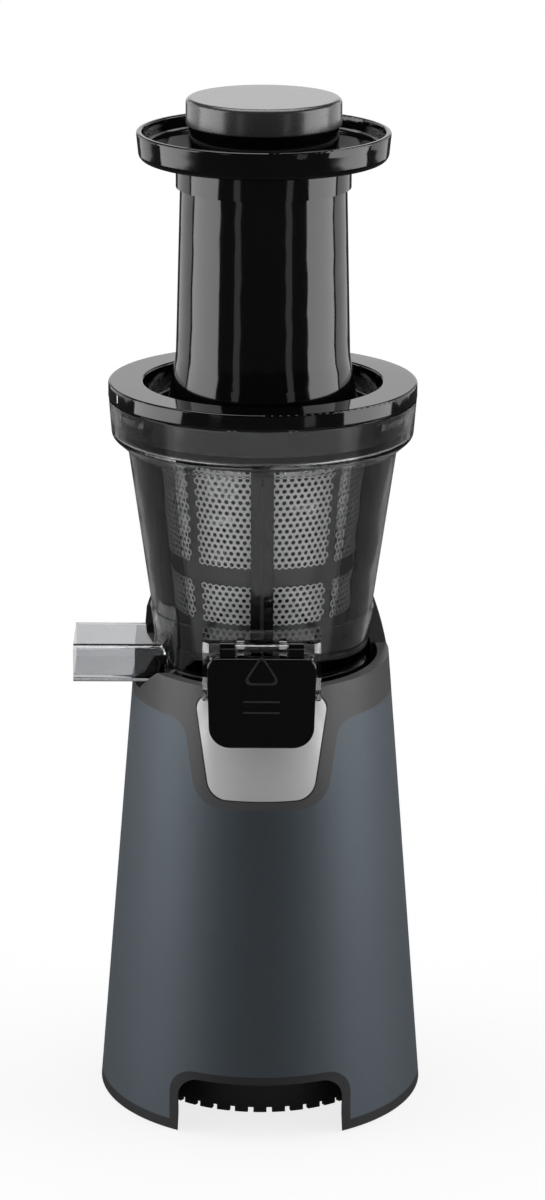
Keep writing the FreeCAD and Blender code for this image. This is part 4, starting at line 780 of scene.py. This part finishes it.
class JUICER_OT_stage(bpy.types.Operator):
    """Pale floor, white surround, soft studio lights and the camera"""

    bl_idname = "juicer.stage"
    bl_label = "Stage"

    camera_place = (0.0, -2.190, 0.854)
    camera_tilt = math.radians(74.33)
    camera_roll = math.radians(0.23)
    camera_lens = 143.7
    camera_shift = 0.00875
    lamp_target = (0, 0, 0.25)

    def floor(self):
        """A wide pale floor that fades to white and keeps a faint shadow."""
        bm = bmesh.new()
        bmesh.ops.create_circle(bm, cap_ends=True, segments=96, radius=6)
        mesh = bpy.data.meshes.new("floor")
        bm.to_mesh(mesh)
        bm.free()
        material = bpy.data.materials.new("pale_floor")
        material.use_nodes = True
        tree = material.node_tree
        shader = tree.nodes["Principled BSDF"]
        shader.inputs["Roughness"].default_value = 0.8
        shader.inputs["Specular IOR Level"].default_value = 0.1
        grain = noise_over(tree, 6, 2.0)
        tree.links.new(
            shaded(tree, grain, (0.80, 0.80, 0.80), (0.83, 0.83, 0.83)), shader.inputs["Base Color"])
        white = tree.nodes.new("ShaderNodeEmission")
        white.inputs["Color"].default_value = (1, 1, 1, 1)
        dim = tree.nodes.new("ShaderNodeEmission")
        dim.inputs["Color"].default_value = (0.05, 0.05, 0.05, 1)
        path = tree.nodes.new("ShaderNodeLightPath")
        place = tree.nodes.new("ShaderNodeTexCoord")
        far = tree.nodes.new("ShaderNodeVectorMath")
        far.operation = "LENGTH"
        fade = tree.nodes.new("ShaderNodeMapRange")
        fade.inputs["From Min"].default_value = 0.12
        fade.inputs["From Max"].default_value = 0.55
        fade.inputs["To Min"].default_value = 0.80
        seen = tree.nodes.new("ShaderNodeMath")
        seen.operation = "MAXIMUM"
        share = tree.nodes.new("ShaderNodeMath")
        share.operation = "MULTIPLY"
        mirrored = tree.nodes.new("ShaderNodeMixShader")
        both = tree.nodes.new("ShaderNodeMixShader")
        links = tree.links
        links.new(place.outputs["Object"], far.inputs[0])
        links.new(far.outputs["Value"], fade.inputs["Value"])
        links.new(path.outputs["Is Camera Ray"], seen.inputs[0])
        links.new(path.outputs["Is Transmission Ray"], seen.inputs[1])
        links.new(seen.outputs["Value"], share.inputs[0])
        links.new(fade.outputs["Result"], share.inputs[1])
        links.new(path.outputs["Is Glossy Ray"], mirrored.inputs["Fac"])
        links.new(shader.outputs["BSDF"], mirrored.inputs[1])
        links.new(dim.outputs["Emission"], mirrored.inputs[2])
        links.new(share.outputs["Value"], both.inputs["Fac"])
        links.new(mirrored.outputs["Shader"], both.inputs[1])
        links.new(white.outputs["Emission"], both.inputs[2])
        links.new(both.outputs["Shader"], tree.nodes["Material Output"].inputs["Surface"])
        mesh.materials.append(material)
        floor = bpy.data.objects.new("floor", mesh)
        bpy.context.scene.collection.objects.link(floor)

    def surround(self):
        """A dim room, seen as white by the camera, through glass and behind the juicer in metal."""
        world = bpy.data.worlds.new("studio")
        bpy.context.scene.world = world
        world.use_nodes = True
        tree = world.node_tree
        links = tree.links
        room = tree.nodes["Background"]
        room.inputs["Color"].default_value = (0.32, 0.32, 0.33, 1)
        dark = self.background(tree, (0.02, 0.02, 0.021))
        white = self.background(tree, (1, 1, 1))
        path = tree.nodes.new("ShaderNodeLightPath")
        place = tree.nodes.new("ShaderNodeTexCoord")
        split = tree.nodes.new("ShaderNodeSeparateXYZ")
        behind = tree.nodes.new("ShaderNodeMapRange")
        behind.inputs["From Min"].default_value = 0.90
        behind.inputs["From Max"].default_value = 0.97
        links.new(place.outputs["Generated"], split.inputs["Vector"])
        links.new(split.outputs["Y"], behind.inputs["Value"])
        mirrored = tree.nodes.new("ShaderNodeMixShader")
        links.new(behind.outputs["Result"], mirrored.inputs["Fac"])
        links.new(dark, mirrored.inputs[1])
        links.new(white, mirrored.inputs[2])
        lit = tree.nodes.new("ShaderNodeMixShader")
        links.new(path.outputs["Is Glossy Ray"], lit.inputs["Fac"])
        links.new(room.outputs["Background"], lit.inputs[1])
        links.new(mirrored.outputs["Shader"], lit.inputs[2])
        seen = tree.nodes.new("ShaderNodeMath")
        seen.operation = "MAXIMUM"
        links.new(path.outputs["Is Camera Ray"], seen.inputs[0])
        links.new(path.outputs["Is Transmission Ray"], seen.inputs[1])
        whole = tree.nodes.new("ShaderNodeMixShader")
        links.new(seen.outputs["Value"], whole.inputs["Fac"])
        links.new(lit.outputs["Shader"], whole.inputs[1])
        links.new(white, whole.inputs[2])
        links.new(whole.outputs["Shader"], tree.nodes["World Output"].inputs["Surface"])

    def background(self, tree, colour):
        """One plain tone of the surround."""
        tone = tree.nodes.new("ShaderNodeBackground")
        tone.inputs["Color"].default_value = (*colour, 1)
        return tone.outputs["Background"]

    def lamp(self, name, place, target, wide, high, power):
        """A soft panel light turned to a target."""
        light = bpy.data.lights.new(name, "AREA")
        light.shape = "RECTANGLE"
        light.size = wide
        light.size_y = high
        light.energy = power
        lamp = bpy.data.objects.new(name, light)
        bpy.context.scene.collection.objects.link(lamp)
        lamp.location = place
        aim = Vector(target) - Vector(place)
        lamp.rotation_euler = aim.to_track_quat("-Z", "Y").to_euler()
        lamp.visible_camera = False

    def camera(self):
        """The photograph's view: a long lens from the front, a little above."""
        data = bpy.data.cameras.new("view")
        data.sensor_fit = "VERTICAL"
        data.sensor_height = 36
        data.lens = self.camera_lens
        data.shift_x = self.camera_shift
        data.clip_start = 0.05
        view = bpy.data.objects.new("view", data)
        bpy.context.scene.collection.objects.link(view)
        turn = Matrix.Rotation(self.camera_tilt, 4, "X") @ Matrix.Rotation(self.camera_roll, 4, "Z")
        view.matrix_world = Matrix.Translation(self.camera_place) @ turn
        bpy.context.scene.camera = view

    def execute(self, context):
        self.floor()
        self.surround()
        for side, way in (("left", -1), ("right", 1)):
            self.lamp(side + "_panel", (way * 1.25, -0.12, 0.45), self.lamp_target, 1.15, 1.4, 15)
            self.lamp(side + "_strip", (way * 0.85, -1.25, 0.35), self.lamp_target, 0.22, 1.1, 0.40)
            self.lamp(side + "_rear_panel", (way * 1.2, 1.1, 0.45), self.lamp_target, 1.2, 1.4, 5)
        self.lamp("top_panel", (0, 0.25, 1.75), (0, 0, 0.3), 1.4, 1.2, 16)
        self.camera()
        bpy.context.scene.view_settings.view_transform = "Standard"
        return {"FINISHED"}


STEPS = (
    JUICER_OT_shell,
    JUICER_OT_collar,
    JUICER_OT_back,
    JUICER_OT_drive,
    JUICER_OT_bowl,
    JUICER_OT_strainer,
    JUICER_OT_brush,
    JUICER_OT_auger,
    JUICER_OT_cover,
    JUICER_OT_lid,
    JUICER_OT_tray,
    JUICER_OT_pusher,
    JUICER_OT_stage,
)


class JUICER_PT_panel(bpy.types.Panel):
    """The juicer's steps, sizes and colours"""

    bl_idname = "JUICER_PT_panel"
    bl_label = "Juicer"
    bl_space_type = "VIEW_3D"
    bl_region_type = "UI"
    bl_category = "Juicer"

    def draw(self, context):
        layout = self.layout
        for group in (context.scene.juicer_sizes, context.scene.juicer_finishes):
            column = layout.column()
            for name in group.__annotations__:
                column.prop(group, name)
        for step in STEPS:
            layout.operator(step.bl_idname)


CLASSES = (JuicerSizes, JuicerFinishes) + STEPS + (JUICER_PT_panel,)


def register():
    for entry in CLASSES:
        bpy.utils.register_class(entry)
    bpy.types.Scene.juicer_sizes = PointerProperty(type=JuicerSizes)
    bpy.types.Scene.juicer_finishes = PointerProperty(type=JuicerFinishes)


def unregister():
    del bpy.types.Scene.juicer_finishes
    del bpy.types.Scene.juicer_sizes
    for entry in reversed(CLASSES):
        bpy.utils.unregister_class(entry)


def main():
    register()
    for step in STEPS:
        family, name = step.bl_idname.split(".")
        getattr(getattr(bpy.ops, family), name)()


if __name__ == "__main__":
    main()
